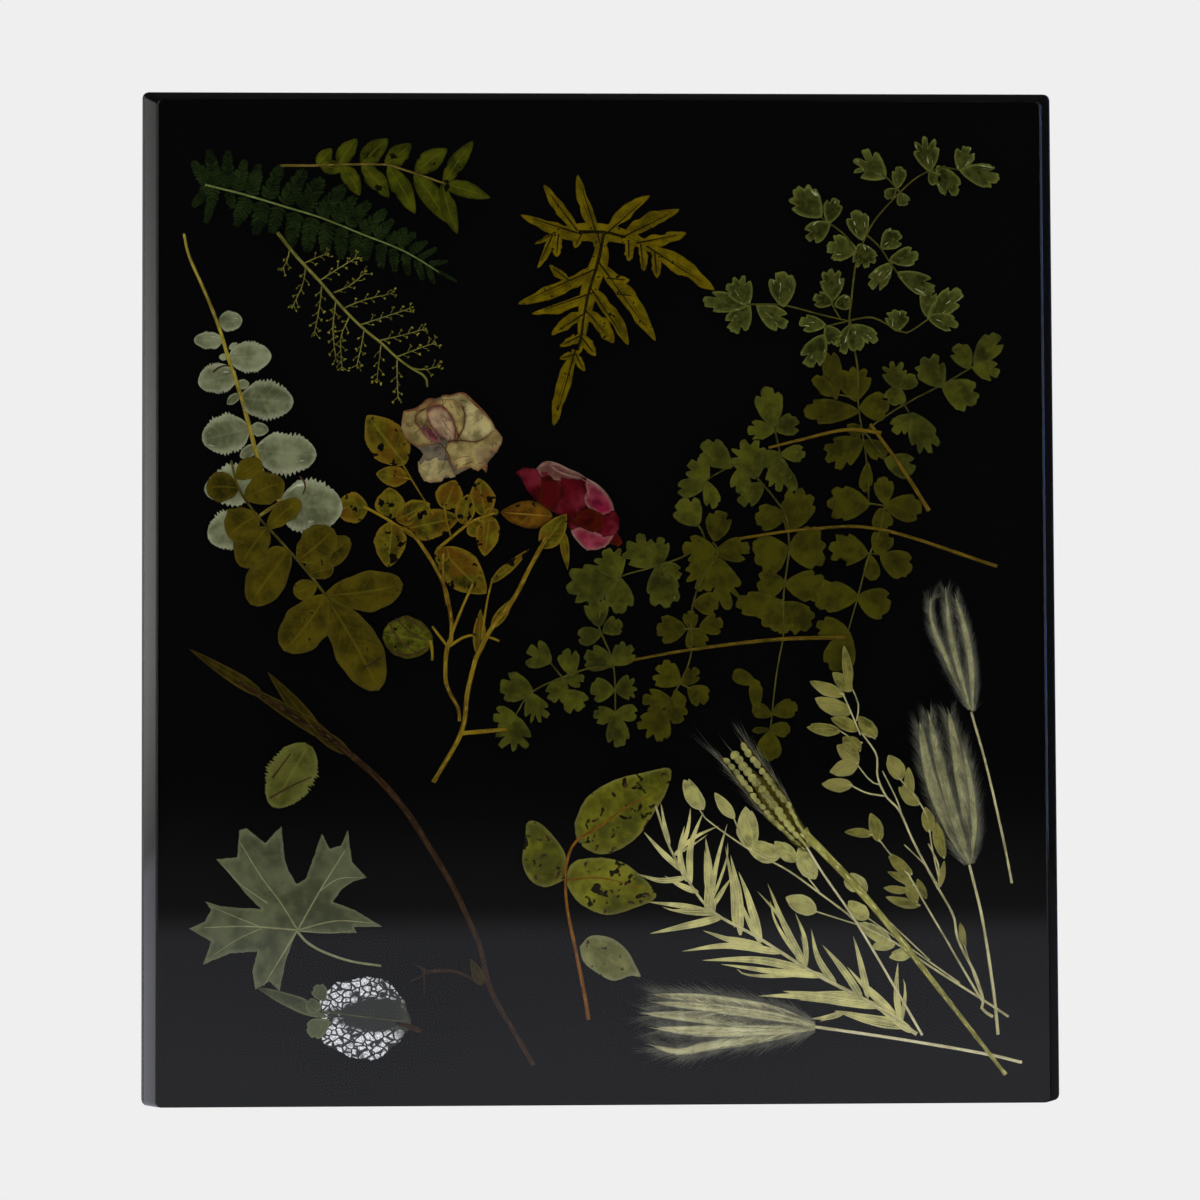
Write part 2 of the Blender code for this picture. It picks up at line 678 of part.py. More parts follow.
def lobed_spray(parts):
    """Stalks and three-lobed leaflets of one spray."""
    stalks, rows = parts
    outlines = [stem(path, 2.6, 2.0) for path in stalks]
    for row in rows:
        outlines.append(leaf(*row, TRIO if row[-1] > SMALL_LEAFLET else OVAL))
    return outlines


def bud_stem():
    return [
        stem([(224, 668), (255, 692), (286, 713), (315, 727), (353, 756)], 12, 9),
        stem([(352, 755), (407, 812), (451, 883), (480, 948), (490, 989), (533, 1065)], 8.5, 6.5),
        leaf(232, 675, 190, 648, 14, BLADE),
        leaf(313, 729, 267, 671, 20, BLADE),
        leaf(482, 984, 470, 958, 12, BLADE),
        stem([(482, 984), (458, 972), (438, 970), (422, 972)], 4.0, 5.0),
        stem([(427, 971), (414, 963)], 4.0),
        stem([(427, 972), (410, 981)], 3.0),
        stem([(424, 973), (424, 994)], 2.6),
    ]


def serrated_leaflet():
    return leaves([(310, 744, 272, 806, 48)], ROUNDISH)


def maple_leaf():
    outline = [
        (190, 927), (206, 920), (212, 908), (206, 900), (222, 905), (262, 908), (246, 892), (232, 874),
        (217, 858), (238, 856), (240, 829), (247, 827), (266, 842), (282, 825), (285, 858), (289, 870),
        (297, 883), (306, 878), (314, 856), (322, 833), (330, 848), (341, 845), (348, 829), (352, 861),
        (367, 877), (354, 880), (342, 888), (333, 901), (355, 909), (382, 926), (354, 926), (357, 932),
        (324, 932), (297, 930), (286, 960), (280, 990), (270, 980), (256, 988), (253, 970), (258, 950),
        (230, 952), (204, 963), (212, 940),
    ]
    petiole = stem([(296, 928), (306, 940), (322, 950), (350, 960), (381, 965)], 3.0, 3.0)
    return [[Vector(p) for p in outline], petiole]


def silvered_leaf():
    return [
        leaf(318, 1014, 409, 1018, 82, ROUNDISH), leaf(258, 986, 330, 1016, 22, OVAL),
        leaf(330, 1020, 308, 1030, 22, ROUNDISH), leaf(325, 1000, 318, 984, 16, ROUNDISH),
        leaf(396, 1022, 421, 1031, 8, OVAL),
    ]


def three_leaf_sprig():
    axis = [(600, 826), (576, 841), (567, 859), (565, 880), (567, 910), (576, 954), (585, 1000), (588, 1020)]
    upper = [
        (574, 823), (586, 798), (612, 781), (642, 773), (670, 769), (665, 794), (653, 814), (638, 836),
        (618, 850), (597, 854), (578, 842),
    ]
    side = [
        (564, 880), (572, 863), (590, 858), (615, 860), (636, 872), (656, 896), (632, 909), (605, 915),
        (580, 904), (569, 890),
    ]
    left = [
        (566, 878), (557, 883), (544, 887), (530, 880), (522, 862), (525, 836), (527, 822), (538, 822),
        (553, 836), (565, 855),
    ]
    return [stem(axis, 3.2, 5.0)] + [[Vector(p) for p in ring] for ring in (upper, side, left)]


def fallen_leaf():
    outline = [
        (579, 947), (590, 936), (610, 938), (626, 950), (635, 966), (640, 977), (630, 976), (613, 981),
        (598, 974), (583, 962),
    ]
    return [[Vector(p) for p in outline]]


def barley_ear():
    """Two rows of grains beside the axis, the fan of awns and a thick stalk."""
    foot = Vector((806, 845))
    top = Vector((737, 756))
    along = (top - foot).normalized()
    across = Vector((-along.y, along.x))
    outlines = [
        stem([(802, 832), (854, 886), (904, 946), (1006, 1077)], 9.0, 3.4),
        leaf(812, 852, 718, 718, 44, BLADE),
    ]
    for step in range(9):
        middle = foot.lerp(top, 0.06 + 0.10 * step)
        for hand in (-1, 1):
            grain_foot = middle + across * hand * 3.0
            grain_tip = grain_foot + along * 15.0 + across * hand * 9.0
            outlines.append(leaf(grain_foot.x, grain_foot.y, grain_tip.x, grain_tip.y, 7.0, LANCE))
    return outlines


def thin_grass_stem():
    return [stem([(806, 848), (822, 874), (856, 924), (895, 990), (922, 1037)], 3.0, 3.2)]


def flat_grass_left():
    stalks = [
        stem([(700, 806), (704, 818), (747, 849), (787, 871), (819, 894), (850, 917)], 2.0, 3.0),
        stem([(848, 916), (864, 928), (898, 946), (930, 968), (985, 1003), (1009, 1019)], 3.0, 3.4),
        stem([(733, 818), (744, 846)], 2.0), stem([(796, 864), (819, 893)], 2.0),
        stem([(814, 912), (864, 928)], 2.0), stem([(866, 918), (905, 946), (960, 985)], 2.0, 2.4),
        stem([(856, 892), (890, 924), (930, 962)], 2.0, 2.0),
    ]
    rows = [
        (703, 810, 683, 780, 18), (734, 819, 714, 793, 13), (751, 851, 745, 807, 22),
        (780, 857, 747, 848, 22), (797, 862, 774, 842, 16), (815, 880, 798, 848, 20),
        (816, 913, 785, 898, 20), (859, 892, 845, 877, 16), (866, 894, 850, 874, 14),
        (868, 920, 848, 902, 18), (892, 946, 856, 924, 16), (895, 946, 871, 949, 12),
        (914, 952, 889, 959, 13),
    ]
    return stalks + leaves(rows, OVAL)


def flat_grass_right():
    stalks = [
        stem([(862, 735), (876, 756), (877, 778), (886, 798), (899, 812), (914, 845), (938, 890)], 3.0, 3.6),
        stem([(937, 888), (953, 917), (958, 942), (975, 976), (983, 1002), (982, 1011), (993, 1019)], 3.6, 4.4),
        stem([(842, 694), (850, 712), (860, 736)], 2.2), stem([(852, 690), (858, 706), (856, 722)], 2.0),
        stem([(850, 786), (866, 794), (884, 797)], 2.4), stem([(857, 766), (870, 782), (880, 786)], 2.0),
        stem([(875, 740), (868, 736), (860, 734)], 2.0), stem([(882, 772), (896, 800), (902, 818)], 2.0),
        stem([(898, 778), (924, 812), (932, 850), (940, 888)], 2.2), stem([(878, 840), (892, 858), (908, 876)], 2.0),
        stem([(904, 846), (926, 868), (938, 888)], 2.0), stem([(906, 872), (924, 904), (950, 948)], 2.4, 3.0),
        stem([(948, 945), (966, 976), (982, 1003)], 3.0, 3.4), stem([(928, 845), (938, 866), (938, 888)], 2.4),
        stem([(964, 946), (972, 972), (982, 1000)], 2.0),
    ]
    rows = [
        (848, 692, 843, 646, 11), (851, 692, 832, 673, 15), (844, 696, 809, 682, 14),
        (851, 714, 814, 699, 18), (840, 732, 806, 728, 13), (858, 731, 830, 719, 14), (876, 738, 858, 717, 16), (860, 752, 842, 738, 16),
        (858, 764, 836, 746, 18), (858, 764, 829, 773, 17), (852, 786, 821, 785, 15),
        (901, 781, 888, 756, 18), (911, 796, 908, 768, 11),
        (919, 806, 898, 788, 14), (929, 834, 925, 808, 14),
        (944, 860, 934, 822, 12), (872, 836, 844, 833, 10), (879, 843, 870, 814, 15), (912, 876, 888, 857, 12), (916, 888, 887, 873, 10), (908, 892, 883, 889, 9),
        (920, 907, 885, 898, 11), (917, 904, 905, 886, 12), (926, 900, 917, 880, 9),
        (965, 949, 960, 924, 7), (939, 889, 944, 862, 7),
    ]
    grounded = [stem([(840, 732), (852, 740), (862, 744)], 2.0), stem([(920, 898), (922, 902)], 6.0)]
    return stalks + grounded + leaves(rows, OVAL)


def straw_spray():
    """Narrow straw leaves set along an arching axis."""
    axis = [(655, 806), (668, 845), (687, 880), (712, 912), (757, 938), (815, 975), (868, 1003), (917, 1036)]
    rows = [
        (669, 846, 660, 803, 5), (676, 856, 690, 808, 6), (672, 857, 719, 826, 5),
        (686, 882, 684, 826, 7), (690, 886, 703, 812, 8), (682, 872, 643, 832, 7), (686, 878, 636, 874, 7),
        (698, 893, 664, 876, 7), (710, 904, 727, 824, 6),
        (706, 912, 705, 838, 10), (714, 913, 704, 850, 8), (712, 908, 731, 878, 6),
        (714, 913, 667, 910, 8), (717, 915, 647, 902, 8), (722, 918, 649, 934, 9), (734, 928, 725, 846, 6),
        (740, 936, 730, 855, 10), (760, 944, 738, 872, 10), (762, 946, 702, 931, 8),
        (780, 954, 681, 952, 9), (800, 966, 757, 892, 6), (806, 968, 767, 884, 8),
        (806, 968, 795, 914, 6), (815, 974, 701, 961, 10), (822, 978, 720, 965, 8), (826, 978, 763, 974, 7),
        (836, 986, 811, 930, 8), (862, 1000, 822, 946, 9), (858, 996, 757, 997, 10), (868, 1000, 853, 937, 8),
        (872, 1004, 782, 992, 11), (880, 1008, 798, 1001, 12), (896, 1016, 847, 968, 8), (901, 1025, 898, 964, 8),
        (908, 1028, 834, 1012, 14), (844, 1014, 811, 1020, 7), (912, 1034, 872, 1004, 10),
    ]
    return [stem(axis, 2.6, 4.6)] + leaves(rows, BLADE)


# Soft brush ears are round bodies, lofted along a path of oval rings


def brush_ear(name, path, half_widths, half_depth, front, collection):
    """Loft an oval body through the sheet points, one half width for each."""
    sides = 6
    points = [Vector(p) for p in path]
    middle_depth = front + half_depth
    bm = bmesh.new()
    rings = []
    for i, point in enumerate(points):
        across = side_of(points, i) * half_widths[i]
        deep = half_depth * min(1.0, half_widths[i] / half_widths[-3] + 0.15)
        ring = []
        for k in range(sides):
            angle = 2 * math.pi * k / sides
            spot = point + across * math.cos(angle)
            ring.append(bm.verts.new(place(spot.x, spot.y, middle_depth + deep * math.sin(angle))))
        rings.append(ring)
    for near, far in zip(rings, rings[1:]):
        for k in range(sides):
            j = (k + 1) % sides
            bm.faces.new((near[k], near[j], far[j], far[k]))
    bm.faces.new(rings[0])
    bm.faces.new(rings[-1])
    bmesh.ops.recalc_face_normals(bm, faces=bm.faces)
    return add_object(name, bm, collection, "straw")


def brush_ears(collection):
    front = layer_depth(4)
    half_depth = 0.0013
    brush_ear(
        "foxtail_top",
        [(1013, 885), (1004, 840), (988, 770), (973, 716), (966, 690), (955, 650), (946, 605), (941, 588)],
        [1.8, 1.8, 1.8, 2.2, 14.0, 19.0, 17.0, 8.0], half_depth, front, collection,
    )
    brush_ear(
        "foxtail_right",
        [(999, 1037), (994, 990), (983, 920), (971, 868), (963, 840), (948, 780), (934, 725), (928, 702)],
        [2.2, 2.2, 2.2, 2.6, 20.0, 31.0, 30.0, 14.0], half_depth, front, collection,
    )
    brush_ear(
        "foxtail_low",
        [(1023, 1065), (985, 1056), (900, 1041), (816, 1029), (780, 1026), (700, 1021), (655, 1017), (632, 1015)],
        [2.4, 2.4, 2.4, 2.8, 22.0, 37.0, 34.0, 16.0], half_depth, front, collection,
    )


def tool_object(name, outlines, front, thickness, tools):
    """A plate that only cuts or joins another object."""
    obj = sheet_object(name, outlines, front, thickness, tools)
    obj.hide_render = True
    obj.display_type = "WIRE"
    return obj


def combine(body, other, operation):
    modifier = body.modifiers.new(other.name, "BOOLEAN")
    modifier.operation = operation
    modifier.object = other


def bloom(name, rings, layer, collection, tools, mat_name):
    """A pressed bloom: each inner ring of petals stands a step nearer to the face."""
    front = layer_depth(layer)
    body = sheet_object(name, rings[:1], front, PLANT_THICKNESS, collection, mat_name)
    for number, ring in enumerate(rings[1:], start=1):
        rise = PETAL_STEP * number
        crown = tool_object(
            f"{name}_crown_{number}", [ring], front - rise, rise + PLANT_THICKNESS / 2, tools
        )
        combine(body, crown, "UNION")


def plants(collection, tools):
    """Every flat plant: name, layer behind the front half, material and outlines."""
    rows = [
        ("fern_frond", 4, "fern_green", fern_frond()),
        ("leafy_sprig", 2, "leaf_green", leafy_sprig()),
        ("seed_panicle", 1, "leaf_green", seed_panicle()),
        ("burnet_leaf", 3, "silver_green", burnet_leaf()),
        ("olive_leaf_sprig", 2, "olive", olive_leaf_sprig()),
        ("golden_fern", 2, "ochre", golden_fern()),
        ("cream_rose_stem", 2, "ochre", cream_rose_stem()),
        ("rose_spray_left", 4, "olive", rose_spray_left()),
        ("rose_spray_right", 3, "olive", rose_spray_right()),
        ("folded_rose_leaf", 4, "olive", folded_rose_leaf()),
        ("rolled_rose_leaf", 3, "olive", rolled_rose_leaf()),
        ("red_rose_stem", 1, "olive", red_rose_stem()),
        ("red_rose_leaf", 4, "olive", red_rose_leaf()),
        ("lobed_spray_top", 2, "leaf_green", lobed_spray(SPRAY_TOP)),
        ("lobed_spray_arms", 3, "leaf_green", lobed_spray(SPRAY_ARMS)),
        ("lobed_spray_middle", 4, "leaf_green", lobed_spray(SPRAY_MIDDLE)),
        ("lobed_spray_right", 3, "leaf_green", lobed_spray(SPRAY_RIGHT)),
        ("lobed_spray_left", 3, "leaf_green", lobed_spray(SPRAY_LEFT)),
        ("lobed_spray_centre", 4, "leaf_green", lobed_spray(SPRAY_CENTRE)),
        ("lobed_spray_low_right", 3, "leaf_green", lobed_spray(SPRAY_LOW_RIGHT)),
        ("lobed_spray_west", 3, "leaf_green", lobed_spray(SPRAY_WEST)),
        ("lobed_spray_south_west", 2, "leaf_green", lobed_spray(SPRAY_SOUTH_WEST)),
        ("lobed_spray_south", 2, "leaf_green", lobed_spray(SPRAY_SOUTH)),
        ("straw_stem_1", 1, "ochre", [stem([(768, 448), (800, 440), (845, 430), (881, 433)], 3.2, 4.6)]),
        ("straw_stem_2", 2, "ochre", [stem([(870, 424), (903, 470), (929, 511)], 3.6, 5.4)]),
        ("straw_stem_3", 0, "ochre", [stem([(738, 539), (805, 530), (880, 530), (997, 567)], 3.4, 4.4)]),
        ("straw_stem_4", 1, "ochre", [stem([(628, 661), (690, 650), (775, 640), (846, 638)], 3.0, 5.0)]),
        ("bud_stem", 2, "bark_brown", bud_stem()),
        ("serrated_leaflet", 2, "leaf_green", serrated_leaflet()),
        ("maple_leaf", 2, "silver_green", maple_leaf()),
        ("silvered_leaf", 3, "white_web", silvered_leaf()),
        ("three_leaf_sprig", 4, "leaf_green", three_leaf_sprig()),
        ("fallen_leaf", 2, "leaf_green", fallen_leaf()),
        ("barley_ear", 1, "straw", barley_ear()),
        ("thin_grass_stem", 0, "straw", thin_grass_stem()),
        ("flat_grass_left", 2, "straw", flat_grass_left()),
        ("flat_grass_right", 0, "straw", flat_grass_right()),
        ("straw_spray", 3, "straw", straw_spray()),
    ]
    for name, layer, mat_name, outlines in rows:
        sheet_object(name, outlines, layer_depth(layer), PLANT_THICKNESS, collection, mat_name)
    bloom("cream_rose_bloom", cream_rose_petals(), 3, collection, tools, "cream")
    bloom("red_rose_bloom", red_rose_petals(), 3, collection, tools, "crimson")
    brush_ears(collection)


# The slab: a clear front half, a clear rear half with the pocket, and the black backing


def pocket_cutter(collection, tools):
    """A plate a little larger than all the plants, from the parting plane to the pocket floor."""
    corners = [Vector((v.co.x, v.co.z)) for obj in collection.objects for v in obj.data.vertices]
    hull = [corners[i] for i in convex_hull_2d(corners)]
    middle = sum(hull, Vector((0.0, 0.0))) / len(hull)
    grown = [p + (p - middle).normalized() * POCKET_MARGIN for p in trimmed(hull, SMALLEST_POCKET_BULGE)]
    bm = bmesh.new()
    front = behind_face(FRONT_HALF_THICKNESS)
    bm.faces.new([bm.verts.new((p.x, front, p.y)) for p in grown])
    face_front(bm)
    obj = add_object("pocket_cutter", bm, tools)
    thicken(obj, POCKET_FLOOR - FRONT_HALF_THICKNESS)
    obj.hide_render = True
    obj.display_type = "WIRE"
    return obj


def slab_pieces(collection, cutter):
    front_back = FRONT_HALF_THICKNESS
    slab(
        "clear_front_half",
        [
            (0.0, FRONT_EDGE_ROUND),
            (FRONT_EDGE_ROUND * 0.3, FRONT_EDGE_ROUND * 0.3),
            (FRONT_EDGE_ROUND, 0.0),
            (front_back, 0.0),
        ],
        collection, "clear_resin",
    )
    rear_front = front_back + SEAM_GAP
    backing_front = THICKNESS - BACKING_THICKNESS
    rear = slab(
        "clear_rear_half", [(rear_front, 0.0), (backing_front - SEAM_GAP, 0.0)], collection, "clear_resin"
    )
    combine(rear, cutter, "DIFFERENCE")
    slab(
        "black_backing",
        [
            (backing_front, 0.0),
            (THICKNESS - BACK_EDGE_ROUND, 0.0),
            (THICKNESS - BACK_EDGE_ROUND * 0.3, BACK_EDGE_ROUND * 0.3),
            (THICKNESS, BACK_EDGE_ROUND),
        ],
        collection, "black_resin",
    )


def build():
    clear_scene()
    panel = new_collection("pressed_flower_resin_panel")
    tools = new_collection("cutters")
    plants(panel, tools)
    cutter = pocket_cutter(panel, tools)
    slab_pieces(panel, cutter)


build()
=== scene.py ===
"""Looks of the pressed flower resin panel.

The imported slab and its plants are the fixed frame. Every dried plant is built again here, in the
layer that its solid holds, with curved leaves, veins, stems, grains and hairs, and one clear
casting takes the place of the two clear halves. Plants are placed on a layout sheet that covers
the face, u to the right and v down. Layout tables are plain texts of sheet positions.
"""

from __future__ import annotations

import logging
import math
import random
from abc import ABC, abstractmethod
from dataclasses import dataclass, field
from enum import Enum
from functools import cache
from typing import Any, Sequence

import bmesh
import bpy
from mathutils import Matrix, Vector, noise
from mathutils.geometry import delaunay_2d_cdt

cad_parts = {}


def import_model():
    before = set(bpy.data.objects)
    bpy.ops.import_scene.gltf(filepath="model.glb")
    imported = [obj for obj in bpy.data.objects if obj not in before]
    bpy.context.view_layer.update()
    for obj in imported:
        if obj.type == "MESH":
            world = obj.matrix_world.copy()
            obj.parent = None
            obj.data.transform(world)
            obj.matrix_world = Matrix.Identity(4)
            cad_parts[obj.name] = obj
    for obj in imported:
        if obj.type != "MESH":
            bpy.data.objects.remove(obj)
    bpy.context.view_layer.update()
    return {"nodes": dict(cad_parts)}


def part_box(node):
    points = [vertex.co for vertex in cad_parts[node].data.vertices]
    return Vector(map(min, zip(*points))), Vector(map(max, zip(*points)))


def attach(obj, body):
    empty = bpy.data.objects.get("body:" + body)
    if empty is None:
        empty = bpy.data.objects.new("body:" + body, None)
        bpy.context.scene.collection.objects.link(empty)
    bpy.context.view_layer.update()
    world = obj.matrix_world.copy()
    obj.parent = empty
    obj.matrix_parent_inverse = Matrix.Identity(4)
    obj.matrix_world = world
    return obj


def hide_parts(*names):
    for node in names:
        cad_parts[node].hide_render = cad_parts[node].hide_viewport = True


LOG = logging.getLogger("panel")
MM = 0.001

Spot = tuple[float, float]
Row = tuple[float, ...]
Stalk = tuple[Sequence[Spot], float, float]


# The layout sheet and its tables


@dataclass(frozen=True)
class LayoutSheet:
    """The sheet on which the plants are laid out; one unit is 0.448 mm of the face."""

    unit: float = 0.0004477
    mid_u: float = 601.4
    mid_v: float = 600.0
    lean: float = 0.0044
    taper: float = 0.0000122
    mid_height: float = 0.2247

    def at(self, u: float, v: float, y: float) -> Vector:
        """The point in metres of a sheet point at a given Y."""
        down = v - self.mid_v
        shrink = self.unit * (1.0 - self.taper * down)
        return Vector(((u - self.mid_u - self.lean * down) * shrink, y, self.mid_height - down * shrink))


SHEET = LayoutSheet()


def rows_of(table: str, size: int = 5) -> list[Row]:
    """Split a text of numbers into rows.

    Args:
        table: Numbers parted by spaces.
        size: Numbers in a row; a leaf has base, tip and width.

    Returns:
        The rows.
    """
    values = [float(word) for word in table.split()]
    return [tuple(values[i : i + size]) for i in range(0, len(values), size)]


def paths_of(table: str) -> list[list[Row]]:
    """Paths parted by a slash, each a text of points."""
    return [rows_of(path, 2) for path in table.split("/") if path.strip()]


def stalks_of(table: str) -> list[Stalk]:
    """Stalks parted by a slash: width at the start and end, then the points."""
    return [(path[1:], *path[0]) for path in paths_of(table)]


def mix_spot(a: Spot, b: Spot, t: float) -> Spot:
    """The point at t between two points."""
    return (a[0] + (b[0] - a[0]) * t, a[1] + (b[1] - a[1]) * t)


def heading(a: Sequence[float], b: Sequence[float]) -> tuple[float, float, float]:
    """Distance between two points, and the direction as a unit step."""
    run = math.dist(a[:2], b[:2]) or 1.0
    return run, (b[0] - a[0]) / run, (b[1] - a[1]) / run


def side_spot(a: Spot, b: Spot, t: float, side: float) -> Spot:
    """The point at t between two points, moved sideways."""
    _, du, dv = heading(a, b)
    u, v = mix_spot(a, b, t)
    return (u - dv * side, v + du * side)


def far_spot(a: Spot, turn: float, reach: float) -> Spot:
    """The point at a distance in the direction of an angle."""
    return (a[0] + math.cos(turn) * reach, a[1] + math.sin(turn) * reach)


def path_length(path: Sequence[Spot]) -> float:
    """Length of a path in sheet units."""
    return sum(math.dist(a, b) for a, b in zip(path, path[1:]))


def inside(point: Spot, ring: Sequence[Spot]) -> bool:
    """True if a point lies within a closed outline."""
    u, v = point
    hit = False
    for (a, b), (c, d) in zip(ring, [*ring[1:], ring[0]]):
        if (b > v) != (d > v) and u < (c - a) * (v - b) / (d - b) + a:
            hit = not hit
    return hit


def smooth_path(points: Sequence[Spot], steps: int) -> list[Spot]:
    """Points of a smooth curve through the given points.

    Args:
        points: Two or more points.
        steps: Number of segments of the result.

    Returns:
        steps + 1 points, evenly spread by length.
    """
    if len(points) == 2:
        return [mix_spot(*points, i / steps) for i in range(steps + 1)]
    lengths = [math.dist(a, b) for a, b in zip(points, points[1:])]
    chain = [mix_spot(*points[:2], -1.0), *points, mix_spot(*points[-2:], 2.0)]
    result = []
    for i in range(steps + 1):
        run, span = sum(lengths) * i / steps, 0
        while span < len(lengths) - 1 and run > lengths[span]:
            run -= lengths[span]
            span += 1
        t = min(1.0, run / max(lengths[span], 1e-9))
        curve = []
        for a, b, c, d in zip(*chain[span : span + 4]):
            even = (2 * a - 5 * b + 4 * c - d) * t * t + (3 * b - a - 3 * c + d) * t**3
            curve.append(0.5 * (2 * b + (c - a) * t + even))
        result.append(tuple(curve))
    return result


# Node helpers and colours


def linear(hex_code: str) -> tuple[float, float, float, float]:
    """Turn an sRGB hex colour into linear red, green, blue and an alpha of 1."""
    shares = [int(hex_code[i : i + 2], 16) / 255 for i in (0, 2, 4)]
    red, green, blue = (c / 12.92 if c <= 0.04045 else ((c + 0.055) / 1.055) ** 2.4 for c in shares)
    return (red, green, blue, 1.0)


class Graph:
    """A node tree that is written one node at a time."""

    def __init__(self, tree: bpy.types.NodeTree) -> None:
        """Start from an empty tree."""
        self.tree = tree
        tree.nodes.clear()

    def add(self, kind: str, inputs: dict[Any, Any] | None = None, **settings: Any) -> bpy.types.Node:
        """Add a node with its settings and links.

        Args:
            kind: Short node type, such as "TexNoise".
            inputs: Value, or output socket to link, for each input by name or index.
            settings: Attributes of the node.

        Returns:
            The new node.
        """
        node = self.tree.nodes.new("ShaderNode" + kind)
        for name, value in settings.items():
            setattr(node, name, value)
        for name, value in (inputs or {}).items():
            if isinstance(value, bpy.types.NodeSocket):
                self.tree.links.new(value, node.inputs[name])
            else:
                node.inputs[name].default_value = value
        return node

    def math(self, operation: str, *values: Any, clamp: bool = False) -> bpy.types.NodeSocket:
        """Add a math node and return its result."""
        return self.add("Math", dict(enumerate(values)), operation=operation, use_clamp=clamp).outputs[0]

    def times(self, *values: Any) -> bpy.types.NodeSocket:
        """Multiply two or three values."""
        first = values[0] if len(values) == 2 else self.times(*values[:2])
        return self.math("MULTIPLY", first, values[-1])

    def ramp(self, value: Any, low: float, high: float, to: Spot = (0.0, 1.0)) -> bpy.types.NodeSocket:
        """Smooth step of a value from low to high, mapped to a new range."""
        inputs = {"Value": value, "From Min": low, "From Max": high, "To Min": to[0], "To Max": to[1]}
        return self.add("MapRange", inputs, interpolation_type="SMOOTHSTEP").outputs["Result"]

    def mix(self, share: Any, first: Any, second: Any) -> bpy.types.NodeSocket:
        """Mix two colours, given as sockets or hex codes."""
        first, second = (linear(c) if isinstance(c, str) else c for c in (first, second))
        return self.add("Mix", {0: share, 6: first, 7: second}, data_type="RGBA").outputs[2]

    def noise(self, where: Any, size_mm: float, detail: float = 3.0, rough: float = 0.55) -> Any:
        """Noise whose lumps are about size_mm across."""
        inputs = {"Vector": where, "Scale": 0.5 / (size_mm * MM), "Detail": detail, "Roughness": rough}
        return self.add("TexNoise", inputs).outputs["Fac"]

    def place(self) -> bpy.types.NodeSocket:
        """Position on the object in metres."""
        return self.add("TexCoord").outputs["Object"]

    def chart(self) -> bpy.types.NodeSocket:
        """The leaf chart: along and across a leaf or stem."""
        return self.add("UVMap", uv_map="leaf").outputs[0]

    def value(self, name: str) -> bpy.types.NodeSocket:
        """A value stored on the points of the mesh."""
        return self.add("Attribute", attribute_name=name).outputs["Fac"]

    def stretched(self, where: Any, scale: tuple[float, float, float], **more: Any) -> bpy.types.NodeSocket:
        """Position or chart scaled by axis."""
        return self.add("Mapping", {0: where, "Scale": scale, **more}).outputs[0]

    def surface(self, colour: Any, rough: Any, gloss: Any = 0.0, relief: Any = None, depth_mm: float = 0.0,
                strength: float = 0.8, **more: Any) -> None:
        """Close the graph with a surface.

        Args:
            colour: Colour socket or value.
            rough: Roughness.
            gloss: Specular level; cellulose against resin is nearly index matched, so it has none.
            relief: Height of the bumps, if any.
            depth_mm: Depth of the bumps.
            strength: Strength of the bumps.
            more: Other inputs of the shader.
        """
        inputs = {"Base Color": colour, "Roughness": rough, "Specular IOR Level": gloss, **more}
        if relief:
            bump = {"Height": relief, "Distance": depth_mm * MM, "Strength": strength}
            inputs["Normal"] = self.add("Bump", bump).outputs[0]
        self.add("OutputMaterial", {0: self.add("BsdfPrincipled", inputs).outputs[0]})


def new_material(name: str) -> tuple[bpy.types.Material, Graph]:
    """A material with an empty graph."""
    material = bpy.data.materials.new(name)
    material.use_nodes = True
    return material, Graph(material.node_tree)


@cache
def material_of(finish: Any) -> bpy.types.Material:
    """The material of a finish, made once."""
    return finish.build()


# Finishes of the plants


class Veins(Enum):
    """How the veins of a leaf run, with the width of their lines."""

    NONE = 0.0
    FEATHERED = 0.13
    FANNED = 0.12
    PARALLEL = 0.30


